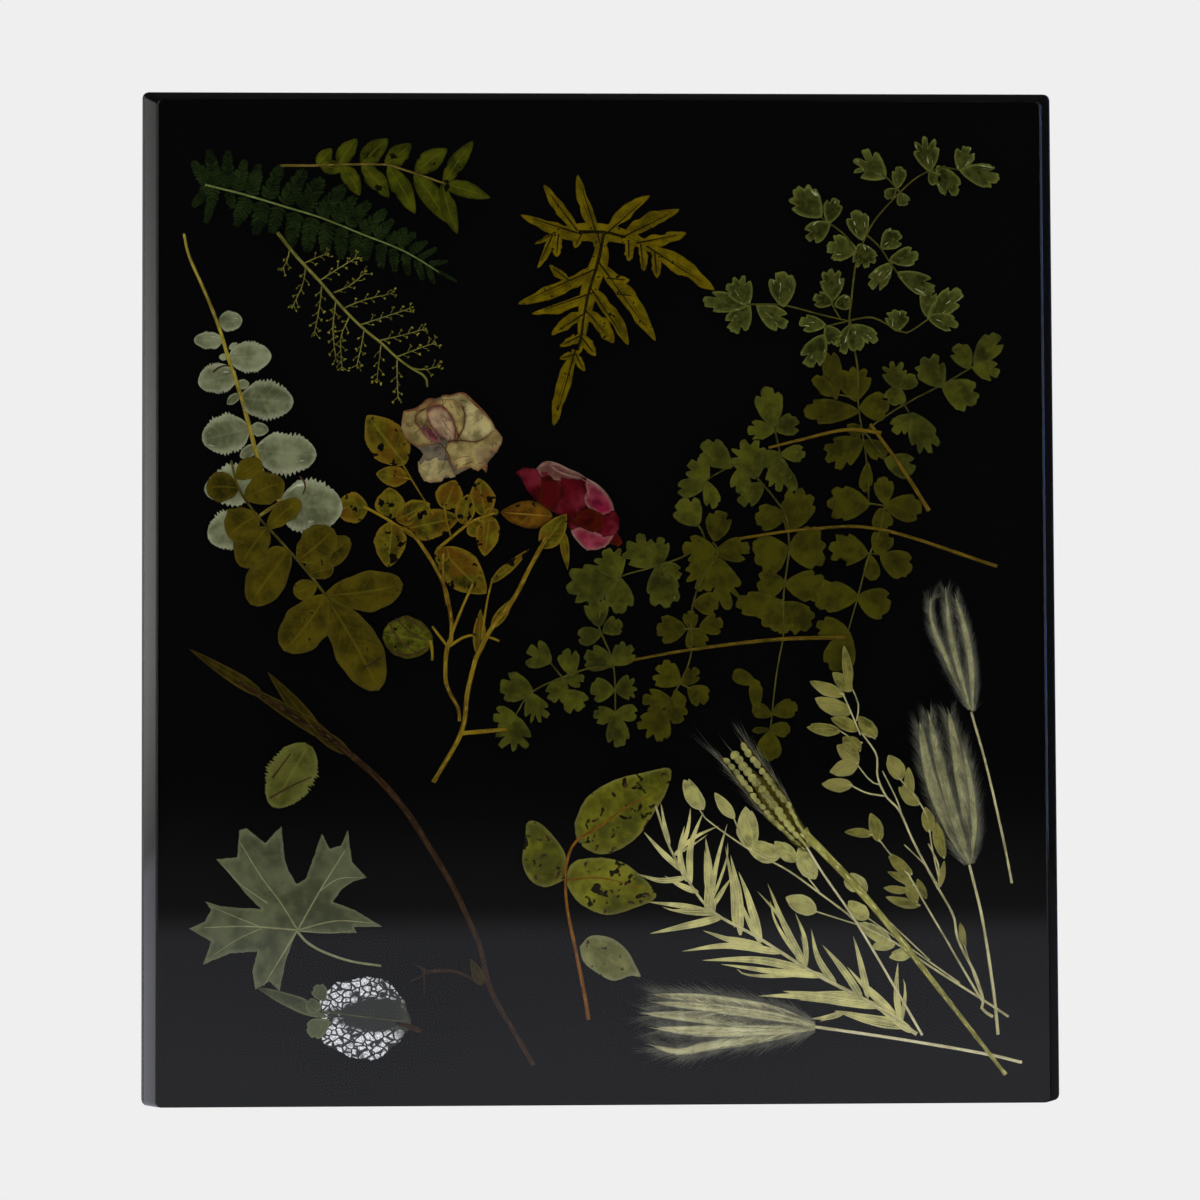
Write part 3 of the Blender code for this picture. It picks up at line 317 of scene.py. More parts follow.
@dataclass(frozen=True)
class DriedBlade:
    """Pressed and dried leaf or petal: matt cellulose that lost its water, blotched and veined."""

    name: str
    # Hex codes: dark and light shade, veins, edge
    shades: str
    spot: str = "1a1606"
    veins: Veins = Veins.FEATHERED
    # Pairs of side veins along the leaf
    pairs: float = 7.0
    veined: float = 0.45
    ribbed: float = 0.8
    # Blotches of uneven drying, in millimetres
    blotch: float = 4.0
    # Share of the leaf that browned from its edge, and share with dark specks
    worn: float = 0.4
    spotted: float = 0.0
    speck: float = 1.6
    # Second colour in soft patches, and their size in millimetres
    blush: str = ""
    flush: float = 5.0
    # Painted glint: silvery streaks painted in, for light mirrored by a film of air between leaf and resin
    painted_glint: float = 0.0
    air_glint: str = "c8ccb4"
    # Depth of the surface relief in millimetres
    relief: float = 0.12

    def vein_mask(self, graph: Graph, along: Any, across: Any, aside: Any, drift: Any) -> Any:
        """Thin lines where the side veins run.

        Args:
            graph: The material's graph.
            along: Place along the leaf.
            across: Place across the leaf, -1 to 1.
            aside: Distance from the midrib.
            drift: Uneven shift of the lines.

        Returns:
            The mask.
        """
        if self.veins is Veins.NONE:
            return 0.0
        phase = across
        if self.veins is Veins.FEATHERED:
            phase = graph.math("MULTIPLY_ADD", aside, -0.22, along)
        elif self.veins is Veins.FANNED:
            phase = graph.math("ARCTAN2", across, graph.math("ADD", along, 0.10))
        phase = graph.times(phase, self.pairs)
        wave = graph.math("PINGPONG", graph.math("ADD", phase, drift), 0.5)
        return graph.ramp(wave, self.veins.value, 0.0)

    def build(self) -> bpy.types.Material:
        """Make the material."""
        material, graph = new_material(self.name)
        dark, light, vein, edge = self.shades.split()
        where, tone = graph.place(), graph.value("tone")
        chart = graph.add("SeparateXYZ", {0: graph.chart()}).outputs
        along = chart[0]
        across = graph.math("MULTIPLY_ADD", chart[1], 2.0, -1.0)
        aside = graph.math("ABSOLUTE", across)
        # Blotches, with a shade of its own for each leaf
        blotch = graph.ramp(graph.noise(where, self.blotch), 0.32, 0.68)
        shade = graph.math("DIVIDE", graph.math("MULTIPLY_ADD", tone, 0.5, blotch), 1.5, clamp=True)
        colour = graph.mix(shade, dark, light)
        if self.blush:
            flush = graph.ramp(graph.noise(where, self.flush, 2.0), 0.44, 0.66, (0.0, 0.9))
            colour = graph.mix(flush, colour, self.blush)
        # Fine grain of half a millimetre, and an edge that browned along it
        grain = graph.noise(where, 0.5, 4.0, 0.7)
        rim = graph.ramp(graph.value("rim"), 0.25, 1.0)
        browned = graph.math("MULTIPLY", graph.times(rim, grain), self.worn * 2.0, clamp=True)
        colour = graph.mix(browned, colour, edge)
        drift = graph.times(graph.noise(where, 4.0, 2.0), 0.9)
        thin = graph.times(self.vein_mask(graph, along, across, aside, drift), self.veined)
        rib = graph.times(graph.ramp(aside, 0.10, 0.02), graph.ramp(along, 1.0, 0.75), self.ribbed)
        lines = graph.math("MAXIMUM", thin, rib)
        colour = graph.mix(lines, colour, vein)
        if self.spotted > 0.0:
            start = 0.72 - 0.22 * self.spotted
            speck = graph.ramp(graph.noise(where, self.speck, 2.0), start, start + 0.05)
            colour = graph.mix(graph.times(speck, min(1.0, 0.6 + self.spotted)), colour, self.spot)
        if self.painted_glint > 0.0:
            # Painted glint: long light streaks near the middle of the leaf, one every few leaves, for light
            # an air film mirrors
            glint_streak = {0: graph.stretched(graph.chart(), (2.4, 9.0, 1.0)), 1: graph.times(tone, 37.0)}
            glint_streak = graph.add("VectorMath", glint_streak, operation="ADD").outputs[0]
            glint_streak = graph.add("TexNoise", {"Vector": glint_streak, "Scale": 1.0, "Detail": 3.0}).outputs["Fac"]
            start = 0.74 - 0.20 * self.painted_glint
            colour = graph.mix(graph.ramp(glint_streak, start, start + 0.09), colour, self.air_glint)
        height = graph.math("MULTIPLY_ADD", lines, 0.6, graph.times(grain, 0.7))
        graph.surface(colour, 0.62, relief=height, depth_mm=self.relief)
        return material


@dataclass(frozen=True)
class DriedStem:
    """Dried stalk: fibrous, with long pale streaks and darker joints."""

    name: str
    # Hex codes: dark and light shade, streaks
    shades: str
    # Length of the streaks and blotches in millimetres
    streak_mm: float = 5.0

    def build(self) -> bpy.types.Material:
        """Make the material."""
        material, graph = new_material(self.name)
        dark, light, streak = self.shades.split()
        # The chart runs in millimetres along the stem and once round it
        fibres = graph.stretched(graph.chart(), (0.25, 9.0, 1.0))
        fibre = graph.add("TexNoise", {"Vector": fibres, "Scale": 1.0, "Detail": 3.0}).outputs["Fac"]
        blotch = graph.ramp(graph.noise(graph.place(), self.streak_mm), 0.30, 0.70)
        shade = graph.math("MULTIPLY_ADD", graph.value("tone"), 0.35, graph.times(blotch, 0.65))
        colour = graph.mix(graph.ramp(fibre, 0.50, 0.72), graph.mix(shade, dark, light), streak)
        graph.surface(colour, 0.58, relief=fibre, depth_mm=0.10, strength=0.7)
        return material


@dataclass(frozen=True)
class SkeletonLeaf:
    """Leaf worn down to its net: dark veins, and white cells where light comes back from within."""

    name: str = "leaf skeleton, silvered"

    def build(self) -> bpy.types.Material:
        """Make the material."""
        material, graph = new_material(self.name)
        where = graph.place()
        # Bend the net a little, by up to 1.5 mm
        drift = graph.add("TexNoise", {"Vector": where, "Scale": 160.0, "Detail": 2.0}).outputs["Color"]
        shift = graph.add("VectorMath", {0: drift, "Scale": 0.003}, operation="SCALE").outputs[0]
        bent = graph.add("VectorMath", {0: where, 1: shift}, operation="ADD").outputs[0]
        flat = graph.stretched(bent, (1.0, 0.0, 1.25))
        # Main cells about 3.2 mm wide, finer ones about 1.3 mm
        wide, fine = (
            graph.add(
                "TexVoronoi", {"Vector": flat, "Scale": scale}, feature="DISTANCE_TO_EDGE"
            ).outputs["Distance"]
            for scale in (300.0, 760.0)
        )
        white = graph.times(graph.ramp(wide, 0.07, 0.15), graph.ramp(fine, 0.03, 0.10, (0.35, 1.0)))
        gone = graph.ramp(graph.noise(where, 4.0, 2.0), 0.34, 0.46)
        # Dark flat oval right of the middle, about 30 by 14 mm, where no cell shines
        bare = SHEET.at(378, 1011, 0.0)
        middle = graph.stretched(bent, (66.0, 0.0, 130.0), Location=(-bare.x * 66, 0.0, -bare.z * 130))
        apart = graph.add("VectorMath", {0: middle}, operation="LENGTH").outputs["Value"]
        gone = graph.times(gone, graph.ramp(apart, 0.85, 1.15))
        colour = graph.mix(graph.times(white, gone), "191b14", "ffffff")
        along = graph.add("SeparateXYZ", {0: graph.chart()}).outputs[0]
        graph.surface(graph.mix(graph.ramp(along, 0.80, 1.0), colour, "30331f"), 0.5, 0.2)
        return material


# Shapes of the plants


class Form(Enum):
    """Outline of a leaf: powers of its width curve, then width at the base."""

    OVAL = (0.85, 0.75, 0.05)
    ROUND = (0.90, 0.55, 0.20)
    LANCE = (0.75, 0.90, 0.08)
    BLADE = (0.55, 0.80, 0.25)
    WEDGE = (1.30, 0.60, 0.10)
    SCALE = (0.82, 0.72, 0.10)
    FINGER = (0.92, 0.62, 0.55)
    PADDLE = (1.20, 0.52, 0.12)
    STRAND = (0.95, 0.60, 0.45)

    def width(self, t: float) -> float:
        """Share of the full width at t along the leaf."""
        lean, power, base = self.value
        belly = max(0.0, math.sin(math.pi * min(1.0, max(0.0, t)) ** lean)) ** power
        return max(belly, base * (1.0 - t * 4.0))


@dataclass(frozen=True)
class Cut:
    """How a leaf is cut and how it dried."""

    form: Form = Form.OVAL
    teeth: float = 0.0
    teeth_count: int = 8
    # Side bend as a share of the length
    bend: float = 0.0
    # Height of the fold along the midrib and of the ripples, in millimetres
    fold: float = 0.25
    ripple: float = 0.20
    rows: int = 18
    spans: int = 8
    bites: float = 0.0
    wobble: float = 0.10


class Draft:
    """Collects the faces of one piece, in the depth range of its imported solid."""

    # Thickness of a pressed leaf
    SHEET = 0.16 * MM

    def __init__(self, node: str) -> None:
        """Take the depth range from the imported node."""
        low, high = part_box(node)
        self.node = node
        self.front, self.rear = low.y + 0.00005, high.y - 0.00005
        self.points: list[Vector] = []
        self.tones: list[float] = []
        self.rims: list[float] = []
        self.faces: list[tuple[int, ...]] = []
        self.charts: list[Sequence[Spot]] = []
        self.slots: list[int] = []
        self.rng = random.Random(node + "0")

    def level(self, share: float) -> float:
        """The Y at a share of the depth range, 0 at the front."""
        return self.front + (self.rear - self.front) * share

    def drawn(self, tone: float | None) -> float:
        """The tone of a leaf, drawn if left out."""
        return self.rng.random() if tone is None else tone

    def place_in_noise(self, depth: float) -> Vector:
        """A drawn place in the noise field."""
        return Vector((self.rng.uniform(0, 90), self.rng.uniform(0, 90), depth))

    def add_point(self, u: float, v: float, y: float, tone: float, rim: float = 0.0) -> int:
        """Add a point, with 1 for rim at the edge of a leaf, and return its index."""
        self.points.append(SHEET.at(u, v, min(self.rear, max(self.front, y))))
        self.tones.append(tone)
        self.rims.append(rim)
        return len(self.points) - 1

    def add_face(self, corners: Sequence[int], chart: Sequence[Spot], slot: int) -> None:
        """Add a face with its leaf chart and slot index."""
        self.faces.append(tuple(corners))
        self.charts.append(chart)
        self.slots.append(slot)

    def shell(self, grid: list[list[tuple]], tone: float, slot: int, closed: bool = False) -> None:
        """Close a grid of front points with a back sheet.

        Args:
            grid: Rows of (u, v, y, chart, rim) points.
            tone: Variation value of the leaf.
            slot: Slot index.
            closed: True if the first and last column meet.
        """
        last = self.rear - self.SHEET
        front, back = (
            [
                [self.add_point(u, v, min(y, last) + drop, tone, rim) for u, v, y, _, rim in row]
                for row in grid
            ]
            for drop in (0.0, self.SHEET)
        )
        rows, columns = len(grid), len(grid[0])
        spans = columns if closed else columns - 1
        for i in range(rows - 1):
            for j in range(spans):
                k = (j + 1) % columns
                ring = ((i, j), (i, k), (i + 1, k), (i + 1, j))
                chart = [grid[a][b][3] for a, b in ring]
                self.add_face([front[a][b] for a, b in ring], chart, slot)
                self.add_face([back[a][b] for a, b in ring[::-1]], chart[::-1], slot)
        edges = [(0, j, 0, (j + 1) % columns) for j in range(spans)]
        edges += [(rows - 1, (j + 1) % columns, rows - 1, j) for j in range(spans)]
        if not closed:
            edges += [(i + 1, 0, i, 0) for i in range(rows - 1)]
            edges += [(i, columns - 1, i + 1, columns - 1) for i in range(rows - 1)]
        for a, b, c, d in edges:
            near, far = grid[a][b][3], grid[c][d][3]
            self.add_face((front[c][d], front[a][b], back[a][b], back[c][d]), (near, far, far, near), slot)

    def blade(self, path: Sequence[Spot], width: float, cut: Cut = Cut(), level: float = 0.5, slot: int = 0,
              tone: float | None = None) -> None:
        """Add a leaf along a path.

        Args:
            path: Points from base to tip.
            width: Full width in sheet units.
            cut: Outline and drying.
            level: Share of the depth range at the midrib.
            slot: Slot index.
            tone: Variation value, drawn if left out.
        """
        rng = self.rng
        tone = self.drawn(tone)
        rows, half = cut.rows, cut.spans // 2
        centre = smooth_path(path, rows)
        length = path_length(centre)
        bend = cut.bend * length * rng.uniform(0.4, 1.0) * rng.choice((-1, 1))
        where = self.place_in_noise(7.0)
        fold = cut.fold * rng.uniform(0.4, 1.2) * rng.choice((-1, -1, 1)) * MM
        grid = []
        for i, (u, v) in enumerate(centre):
            t = i / rows
            _, du, dv = heading(centre[max(0, i - 1)], centre[min(rows, i + 1)])
            reach = width * 0.5 * cut.form.width(t)
            row = []
            for j in range(-half, half + 1):
                s = j / half
                rim = reach * (1.0 + cut.wobble * noise.noise(where + Vector((t * 5, s * 0.8, 1.0))))
                if cut.teeth and 0.06 < t < 0.99:
                    saw = (t * cut.teeth_count * 2 + (0.5 if s > 0 else 0.0)) % 1.0
                    uneven = 0.75 + 1.1 * noise.noise(where + Vector((t * 11, s, 8.0)))
                    strong = min(1.0, 3.5 * (1.0 - t)) * min(1.0, max(0.2, (t - 0.1) * 3.0))
                    rim *= 1.0 + cut.teeth * uneven * (saw - 0.5) * strong * abs(s) ** 3
                if cut.bites and abs(s) > 0.7:
                    bite = noise.noise(where + Vector((t * 6, 9 + s, 3.0)))
                    rim *= 1.0 - cut.bites * max(0.0, bite - 0.15) * 2.0
                side = s * rim + bend * math.sin(math.pi * t)
                relief = noise.noise(where + Vector((t * length / 16, s * width / 16, 0.0)))
                y = self.level(level) + fold * (abs(s) ** 1.3 - 0.4) + cut.ripple * MM * relief
                near = max(abs(s) ** 2, (t - 0.85) / 0.15)
                row.append((u - dv * side, v + du * side, y, (t, (s + 1) / 2), near))
            grid.append(row)
        self.shell(grid, tone, slot)

    def fan(
        self,
        base: Spot,
        tip: Spot,
        width: float,
        lobes: int = 3,
        depth: float = 0.16,
        level: float = 0.5,
        slot: int = 0,
    ) -> None:
        """Add a fan-shaped leaflet with rounded lobes.

        Args:
            base: Where the stalk joins.
            tip: Middle of the far edge.
            width: Greatest width in sheet units.
            lobes: Number of rounded lobes along the far edge.
            depth: Depth of the cuts between them as a share of the length.
            level: Share of the depth range.
            slot: Slot index.
        """
        rng = self.rng
        tone = rng.random()
        length, du, dv = heading(base, tip)
        where = self.place_in_noise(3.0)
        count, heart = 60, 0.46
        skew = rng.uniform(-0.08, 0.08)
        # Sharp cuts between the lobes, each of another depth, and small round teeth on each lobe
        cuts = [
            ((k + 1) / lobes * 2 - 1 + skew + rng.uniform(-0.07, 0.07), depth * rng.uniform(0.5, 1.9))
            for k in range(lobes - 1)
        ]
        teeth = rng.uniform(0.12, 0.34) * depth
        beats = lobes * rng.choice((1.0, 1.0, 1.5))
        outline: list[Spot] = []
        for i in range(count):
            turn = 2 * math.pi * i / count
            # 0 at the base, 1 at the far edge
            far = (1 - math.cos(turn)) / 2
            along, across = far**0.86, math.sin(turn) * (0.44 + 0.56 * far**0.5) * 0.60
            if far > 0.30:
                spread = (turn - math.pi) / (math.pi * 0.62)
                scale = 1.0 + teeth * (abs(math.cos((spread + skew) * math.pi * beats)) ** 0.6 - 0.55)
                scale -= sum(deep * max(0.0, 1.0 - abs(spread - place) / 0.12) ** 0.8 for place, deep in cuts)
                scale = 1.0 + (scale - 1.0) * min(1.0, (far - 0.30) * 4)
                along, across = heart + (along - heart) * scale, across * scale
            jag = 1.0 + 0.035 * noise.noise(where + Vector((math.cos(turn) * 3, math.sin(turn) * 3, 0.0)))
            outline.append(((along - heart) * jag, across * jag))
        fold = rng.uniform(-0.35, 0.2) * MM
        grid = []
        for ring in (0.06, 0.36, 0.66, 0.88, 1.0):
            row = []
            for along, across in outline:
                a, s = heart + along * ring, across * ring
                relief = noise.noise(where + Vector((a * 1.7, s * 1.7, 1.0)))
                y = self.level(level) + fold * abs(s) * 2 + 0.42 * MM * relief
                u, v = base[0] + du * a * length - dv * s * width, base[1] + dv * a * length + du * s * width
                row.append((u, v, y, (a, s / 1.24 + 0.5), ring**3))
            grid.append(row)
        self.shell(grid, tone, slot, closed=True)
        # The small hole left in the middle is shut by two many-sided faces
        first = len(self.points) - 2 * len(grid) * count
        rear = first + len(grid) * count
        middle = [point[3] for point in grid[0]]
        self.add_face(range(first + count - 1, first - 1, -1), middle[::-1], slot)
        self.add_face(range(rear, rear + count), middle, slot)

    def patch(
        self,
        outline: Sequence[Spot],
        axis: Sequence[Spot],
        relief_mm: float = 0.4,
        level: float = 0.5,
        slot: int = 0,
        tone: float | None = None,
        grid: float = 5.0,
        jag: float = 0.8,
        swell: float = 0.0,
    ) -> None:
        """Add a leaf or petal of any outline.

        Args:
            outline: Corner points of the outline.
            axis: Base and tip, for the chart of the veins.
            relief_mm: Height of the crumples.
            level: Share of the depth range.
            slot: Slot index.
            tone: Variation value, drawn if left out.
            grid: Distance of the inner points in sheet units.
            jag: Unevenness of the edge in sheet units.
            swell: How far the middle rises towards the face, in millimetres.
        """
        rng = self.rng
        tone = self.drawn(tone)
        where = self.place_in_noise(11.0)
        rim: list[Spot] = []
        for a, b in zip(outline, [*outline[1:], outline[0]]):
            steps = max(1, round(math.dist(a, b) / grid * 1.4))
            for i in range(steps):
                u, v = mix_spot(a, b, i / steps)
                if i:
                    u += jag * noise.noise(Vector((u * 0.31, v * 0.31, 1.0)))
                    v += jag * noise.noise(Vector((u * 0.31, v * 0.31, 5.0)))
                rim.append((u, v))
        us, vs = zip(*rim)
        inner: list[Spot] = []
        for i in range(int((max(us) - min(us)) / grid) + 1):
            for j in range(int((max(vs) - min(vs)) / grid) + 1):
                u = min(us) + (i + 0.5 * (j % 2)) * grid + rng.uniform(-0.2, 0.2) * grid
                v = min(vs) + j * grid + rng.uniform(-0.2, 0.2) * grid
                if inside((u, v), rim) and min(math.dist((u, v), p) for p in rim) > grid * 0.5:
                    inner.append((u, v))
        count = len(rim)
        every = [Vector(p) for p in rim + inner]
        corners, _, faces, *_ = delaunay_2d_cdt(every, [], [list(range(count))], 1, 1e-4)
        length, du, dv = heading(*axis)
        bu, bv = axis[0]
        sides = [(p.y - bv) * du - (p.x - bu) * dv for p in corners]
        half = max(abs(s) for s in sides) or 1.0
        middle = Vector((sum(us) / count, sum(vs) / count))
        reach = max((p - middle).length for p in corners) or 1.0
        charts, front, back = [], [], []
        for p, side in zip(corners, sides):
            a = ((p.x - bu) * du + (p.y - bv) * dv) / length
            charts.append((min(1.0, max(0.0, a)), side / half / 2 + 0.5))
            lift = swell * (1 - min(1.0, (p - middle).length / reach) ** 2)
            fine = noise.noise(where + Vector((p.x / 14, p.y / 14, 0.0)))
            fine += 0.5 * noise.noise(where + Vector((p.x / 6, p.y / 6, 4.0)))
            y = min(self.rear - self.SHEET, self.level(level) + (relief_mm * fine - lift) * MM)
            near = math.exp(-min(math.dist(p, q) for q in rim) / 3.5)
            front.append(self.add_point(p.x, p.y, y, tone, near))
            back.append(self.add_point(p.x, p.y, max(y, self.front) + self.SHEET, tone, near))
        edges: dict[tuple[int, int], None] = {}
        for face in faces:
            flat = [corners[i] for i in face]
            area = sum(a.x * b.y - b.x * a.y for a, b in zip(flat, flat[1:] + flat[:1]))
            ring = list(face) if area > 0 else list(reversed(face))
            chart = [charts[i] for i in ring]
            self.add_face([front[i] for i in ring], chart, slot)
            self.add_face([back[i] for i in reversed(ring)], chart[::-1], slot)
            edges.update(dict.fromkeys(zip(ring, ring[1:] + ring[:1])))
        for a, b in edges:
            if (b, a) not in edges:
                chart = (charts[a], charts[b], charts[b], charts[a])
                self.add_face((front[b], front[a], back[a], back[b]), chart, slot)

    def ring(self, at: Spot, du: float, dv: float, radius: float, y: float, thick: float, sides: int,
             tone: float) -> list[int]:
        """Add a flattened ring of points across a direction.

        Args:
            at: Middle of the ring.
            du: Direction along u.
            dv: Direction along v.
            radius: Half the width in sheet units.
            y: Depth of the middle.
            thick: Half the depth in metres.
            sides: Number of points.
            tone: Variation value.

        Returns:
            The indices of the points.
        """
        points = []
        for k in range(sides):
            turn = 2 * math.pi * k / sides
            side = math.cos(turn) * radius
            u, v = at[0] - dv * side, at[1] + du * side
            points.append(self.add_point(u, v, y + math.sin(turn) * thick, tone))
        return points

    def tube(self, rings: list[list[int]], marks: list[float], slot: int) -> None:
        """Join rings of points.

        Args:
            rings: Indices of the points of each ring.
            marks: Place of each ring along the chart.
            slot: Slot index.
        """
        sides = len(rings[0])
        for near, far, a, b in zip(rings, rings[1:], marks, marks[1:]):
            for k in range(sides):
                n, c0, c1 = (k + 1) % sides, k / sides, (k + 1) / sides
                self.add_face((near[k], near[n], far[n], far[k]), ((a, c0), (a, c1), (b, c1), (b, c0)), slot)

    def stem(
        self,
        path: Sequence[Spot],
        width: float,
        end: float,
        level: float = 0.7,
        slot: int = 1,
        knots: int = 0,
        flat: float = 0.7,
        smooth: bool = True,
    ) -> None:
        """Add a stalk along a path.

        Args:
            path: Points from thick to thin end.
            width: Width at the start in sheet units.
            end: Width at the end.
            level: Share of the depth range.
            slot: Slot index.
            knots: Number of thickened joints.
            flat: Depth as a share of the width.
            smooth: False keeps straight spans.
        """
        tone = self.rng.random()
        length = path_length(path)
        steps = max(3, int(length / 7))
        centre = smooth_path(path, steps) if smooth else list(path)
        steps = len(centre) - 1
        where = Vector((self.rng.uniform(0, 90), 0.0, 2.0))
        rings, marks = [], []
        for i, spot in enumerate(centre):
            t = i / steps
            # The chart runs in millimetres
            marks.append(marks[-1] + math.dist(centre[i - 1], spot) * SHEET.unit / MM if i else 0.0)
            _, du, dv = heading(centre[max(0, i - 1)], centre[min(steps, i + 1)])
            radius = (width + (end - width) * t) / 2
            radius *= 1.0 + 0.12 * noise.noise(where + Vector((t * length / 14, 0, 0)))
            if knots:
                beat = (t * knots + 0.5) % 1.0 - 0.5
                radius *= 1.0 + 0.45 * math.exp(-((beat * length / knots / 3.5) ** 2))
            thick = min(radius * SHEET.unit * flat, (self.rear - self.front) / 2 - 0.00001)
            y = min(self.rear - thick, max(self.front + thick, self.level(level)))
            rings.append(self.ring(spot, du, dv, radius, y, thick, 8, tone))
        self.tube(rings, marks, slot)
        self.add_face(rings[0][::-1], [(0.0, 0.0)] * 8, slot)
        self.add_face(rings[-1], [(marks[-1], 0.0)] * 8, slot)

    def grain(
        self, base: Spot, tip: Spot, width: float, slot: int = 0, level: float = 0.5, rows: int = 5
    ) -> None:
        """Add a plump seed.

        Args:
            base: Lower end.
            tip: Upper end.
            width: Greatest width in sheet units.
            slot: Slot index.
            level: Share of the depth range.
            rows: Number of rings between the ends.
        """
        tone = self.rng.random()
        _, du, dv = heading(base, tip)
        sides = 6 if width < 5 else 8
        y = self.level(level)
        first, last = (self.add_point(*end, y, tone) for end in (base, tip))
        marks = [(i + 1) / (rows + 1) for i in range(rows)]
        rings = []
        for t in marks:
            radius = width / 2 * math.sin(math.pi * t**0.85) ** 0.75
            thick = min(radius * 0.8 * SHEET.unit, (self.rear - self.front) * 0.45)
            rings.append(self.ring(mix_spot(base, tip, t), du, dv, radius, y, thick, sides, tone))
        self.tube(rings, marks, slot)
        for k in range(sides):
            n, c0, c1 = (k + 1) % sides, k / sides, (k + 1) / sides
            self.add_face((first, rings[0][n], rings[0][k]), ((0.0, c0), (0.1, c1), (0.1, c0)), slot)
            self.add_face((last, rings[-1][k], rings[-1][n]), ((1.0, c0), (0.9, c0), (0.9, c1)), slot)

    def hair(self, base: tuple[float, ...], tip: tuple[float, ...], width: float, slot: int = 0) -> None:
        """Add a fine closed spike.

        Args:
            base: Foot as (u, v, y).
            tip: End as (u, v, y).
            width: Width of the foot in sheet units.
            slot: Slot index.
        """
        tone = self.rng.random()
        _, du, dv = heading(base, tip)
        half = width / 2
        drop = half * SHEET.unit
        ring = [
            self.add_point(base[0] - dv * side, base[1] + du * side, base[2] + lift, tone)
            for side, lift in ((half, drop * 0.6), (-half, drop * 0.6), (0.0, -drop))
        ]
        end = self.add_point(*tip, tone)
        for k in range(3):
            self.add_face((ring[(k + 1) % 3], ring[k], end), ((0.0, 0.5), (0.1, 0.5), (1.0, 0.5)), slot)
        self.add_face(ring, ((0.0, 0.5),) * 3, slot)

    def finish(self, *materials: bpy.types.Material) -> bpy.types.Object:
        """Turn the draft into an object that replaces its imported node.

        Args:
            materials: One material for each slot index.

        Returns:
            The new object.
        """
        mesh = bpy.data.meshes.new(self.node + "_dried")
        mesh.from_pydata(self.points, [], self.faces)
        for name, values in (("tone", self.tones), ("rim", self.rims)):
            mesh.attributes.new(name, "FLOAT", "POINT").data.foreach_set("value", values)
        flat = [c for chart in self.charts for corner in chart for c in corner]
        mesh.uv_layers.new(name="leaf").data.foreach_set("uv", flat)
        for material in materials:
            mesh.materials.append(material)
        mesh.polygons.foreach_set("material_index", self.slots)
        mesh.polygons.foreach_set("use_smooth", [True] * len(self.slots))
        mesh.update()
        return show(self.node + "_dried", mesh, [self.node])


def show(name: str, mesh: bpy.types.Mesh, nodes: Sequence[str]) -> bpy.types.Object:
    """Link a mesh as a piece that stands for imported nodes.

    Args:
        name: Name of the piece.
        mesh: Its mesh.
        nodes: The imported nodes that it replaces.

    Returns:
        The piece.
    """
    piece = bpy.data.objects.new(name, mesh)
    bpy.context.scene.collection.objects.link(piece)
    for node in nodes:
        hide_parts(node)
    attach(piece, "root")
    return piece


# Plants


@dataclass
class Plant(ABC):
    """One sealed plant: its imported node, its slot in the record, and its finishes."""

    node: str
    slot: str
    finishes: tuple[Any, ...]
    # Thin dark cracks and bands, in the last finish
    marks: str = field(default="", kw_only=True)

    @abstractmethod
    def shape(self, draft: Draft) -> None:
        """Add the plant's leaves and stems to the draft."""

    def build(self) -> None:
        """Build the plant and dress it."""
        draft = Draft(self.node)
        self.shape(draft)
        for path in paths_of(self.marks):
            draft.stem(path, 2.2, 1.2, level=0.03, slot=len(self.finishes) - 1, flat=0.4)
        piece = draft.finish(*(material_of(finish) for finish in self.finishes))
        LOG.info("%s: %d faces", piece.name, len(piece.data.polygons))


@dataclass
class LeafyPlant(Plant):
    """A plant made of stalks and leaves along straight lines."""

    stalks: str = ""
    rows: str = ""
    cut: Cut = Cut()
    stalk_level: float = 0.62

    def leaves(self) -> list[tuple[Spot, Spot, float]]:
        """Base, tip and width of every leaf."""
        return [((row[0], row[1]), (row[2], row[3]), row[4]) for row in rows_of(self.rows)]

    def add_stalks(self, draft: Draft, level: float, share: float = 1.0, end_share: float = 1.0) -> None:
        """Add the stalks.

        Args:
            draft: Where to add them.
            level: Share of the depth range.
            share: Factor of the width at the start.
            end_share: Factor of the width at the end.
        """
        for path, width, end in stalks_of(self.stalks):
            draft.stem(path, width * share, end * end_share, level=level)

    def shape(self, draft: Draft) -> None:
        """Add stalks, then leaves in turn on three levels."""
        self.add_stalks(draft, self.stalk_level)
        for i, (base, tip, width) in enumerate(self.leaves()):
            draft.blade([base, tip], width, self.cut, level=(0.45, 0.25, 0.6)[i % 3])


@dataclass
class FernFrond(LeafyPlant):
    """Fern frond: each pinna is a fine rib with small round lobes along both sides."""

    def shape(self, draft: Draft) -> None:
        """Add the rib and the cut pinnae."""
        rng = draft.rng
        self.add_stalks(draft, 0.08)
        lobe = Cut(Form.ROUND, fold=0.12, ripple=0.06, rows=6, spans=4)
        for k, (base, far, width) in enumerate(self.leaves()):
            tip = side_spot(base, far, 1.0, rng.uniform(-2.0, 2.0))
            length = math.dist(base, tip)
            tone = rng.random()
            draft.stem([base, mix_spot(base, tip, 0.92)], 1.3, 0.6, level=0.3, slot=0)
            count = max(4, int(length / 2.9))
            lobe_width = length / count * 1.2 + 0.9
            turn = math.atan2(tip[1] - base[1], tip[0] - base[0])
            for i in range(count):
                t = (i + 0.6) / count
                foot = mix_spot(base, tip, t)
                reach = width * 0.66 * (1.0 - 0.62 * t**3) * rng.uniform(0.85, 1.1)
                for hand in (-1, 1):
                    end = far_spot(foot, turn + hand * (1.12 - 0.35 * t) + rng.uniform(-0.15, 0.15), reach)
                    level = (0.35, 0.5, 0.65)[(i + k) % 3]
                    draft.blade([foot, end], lobe_width, lobe, level, tone=(tone + 0.1 * i) % 1)


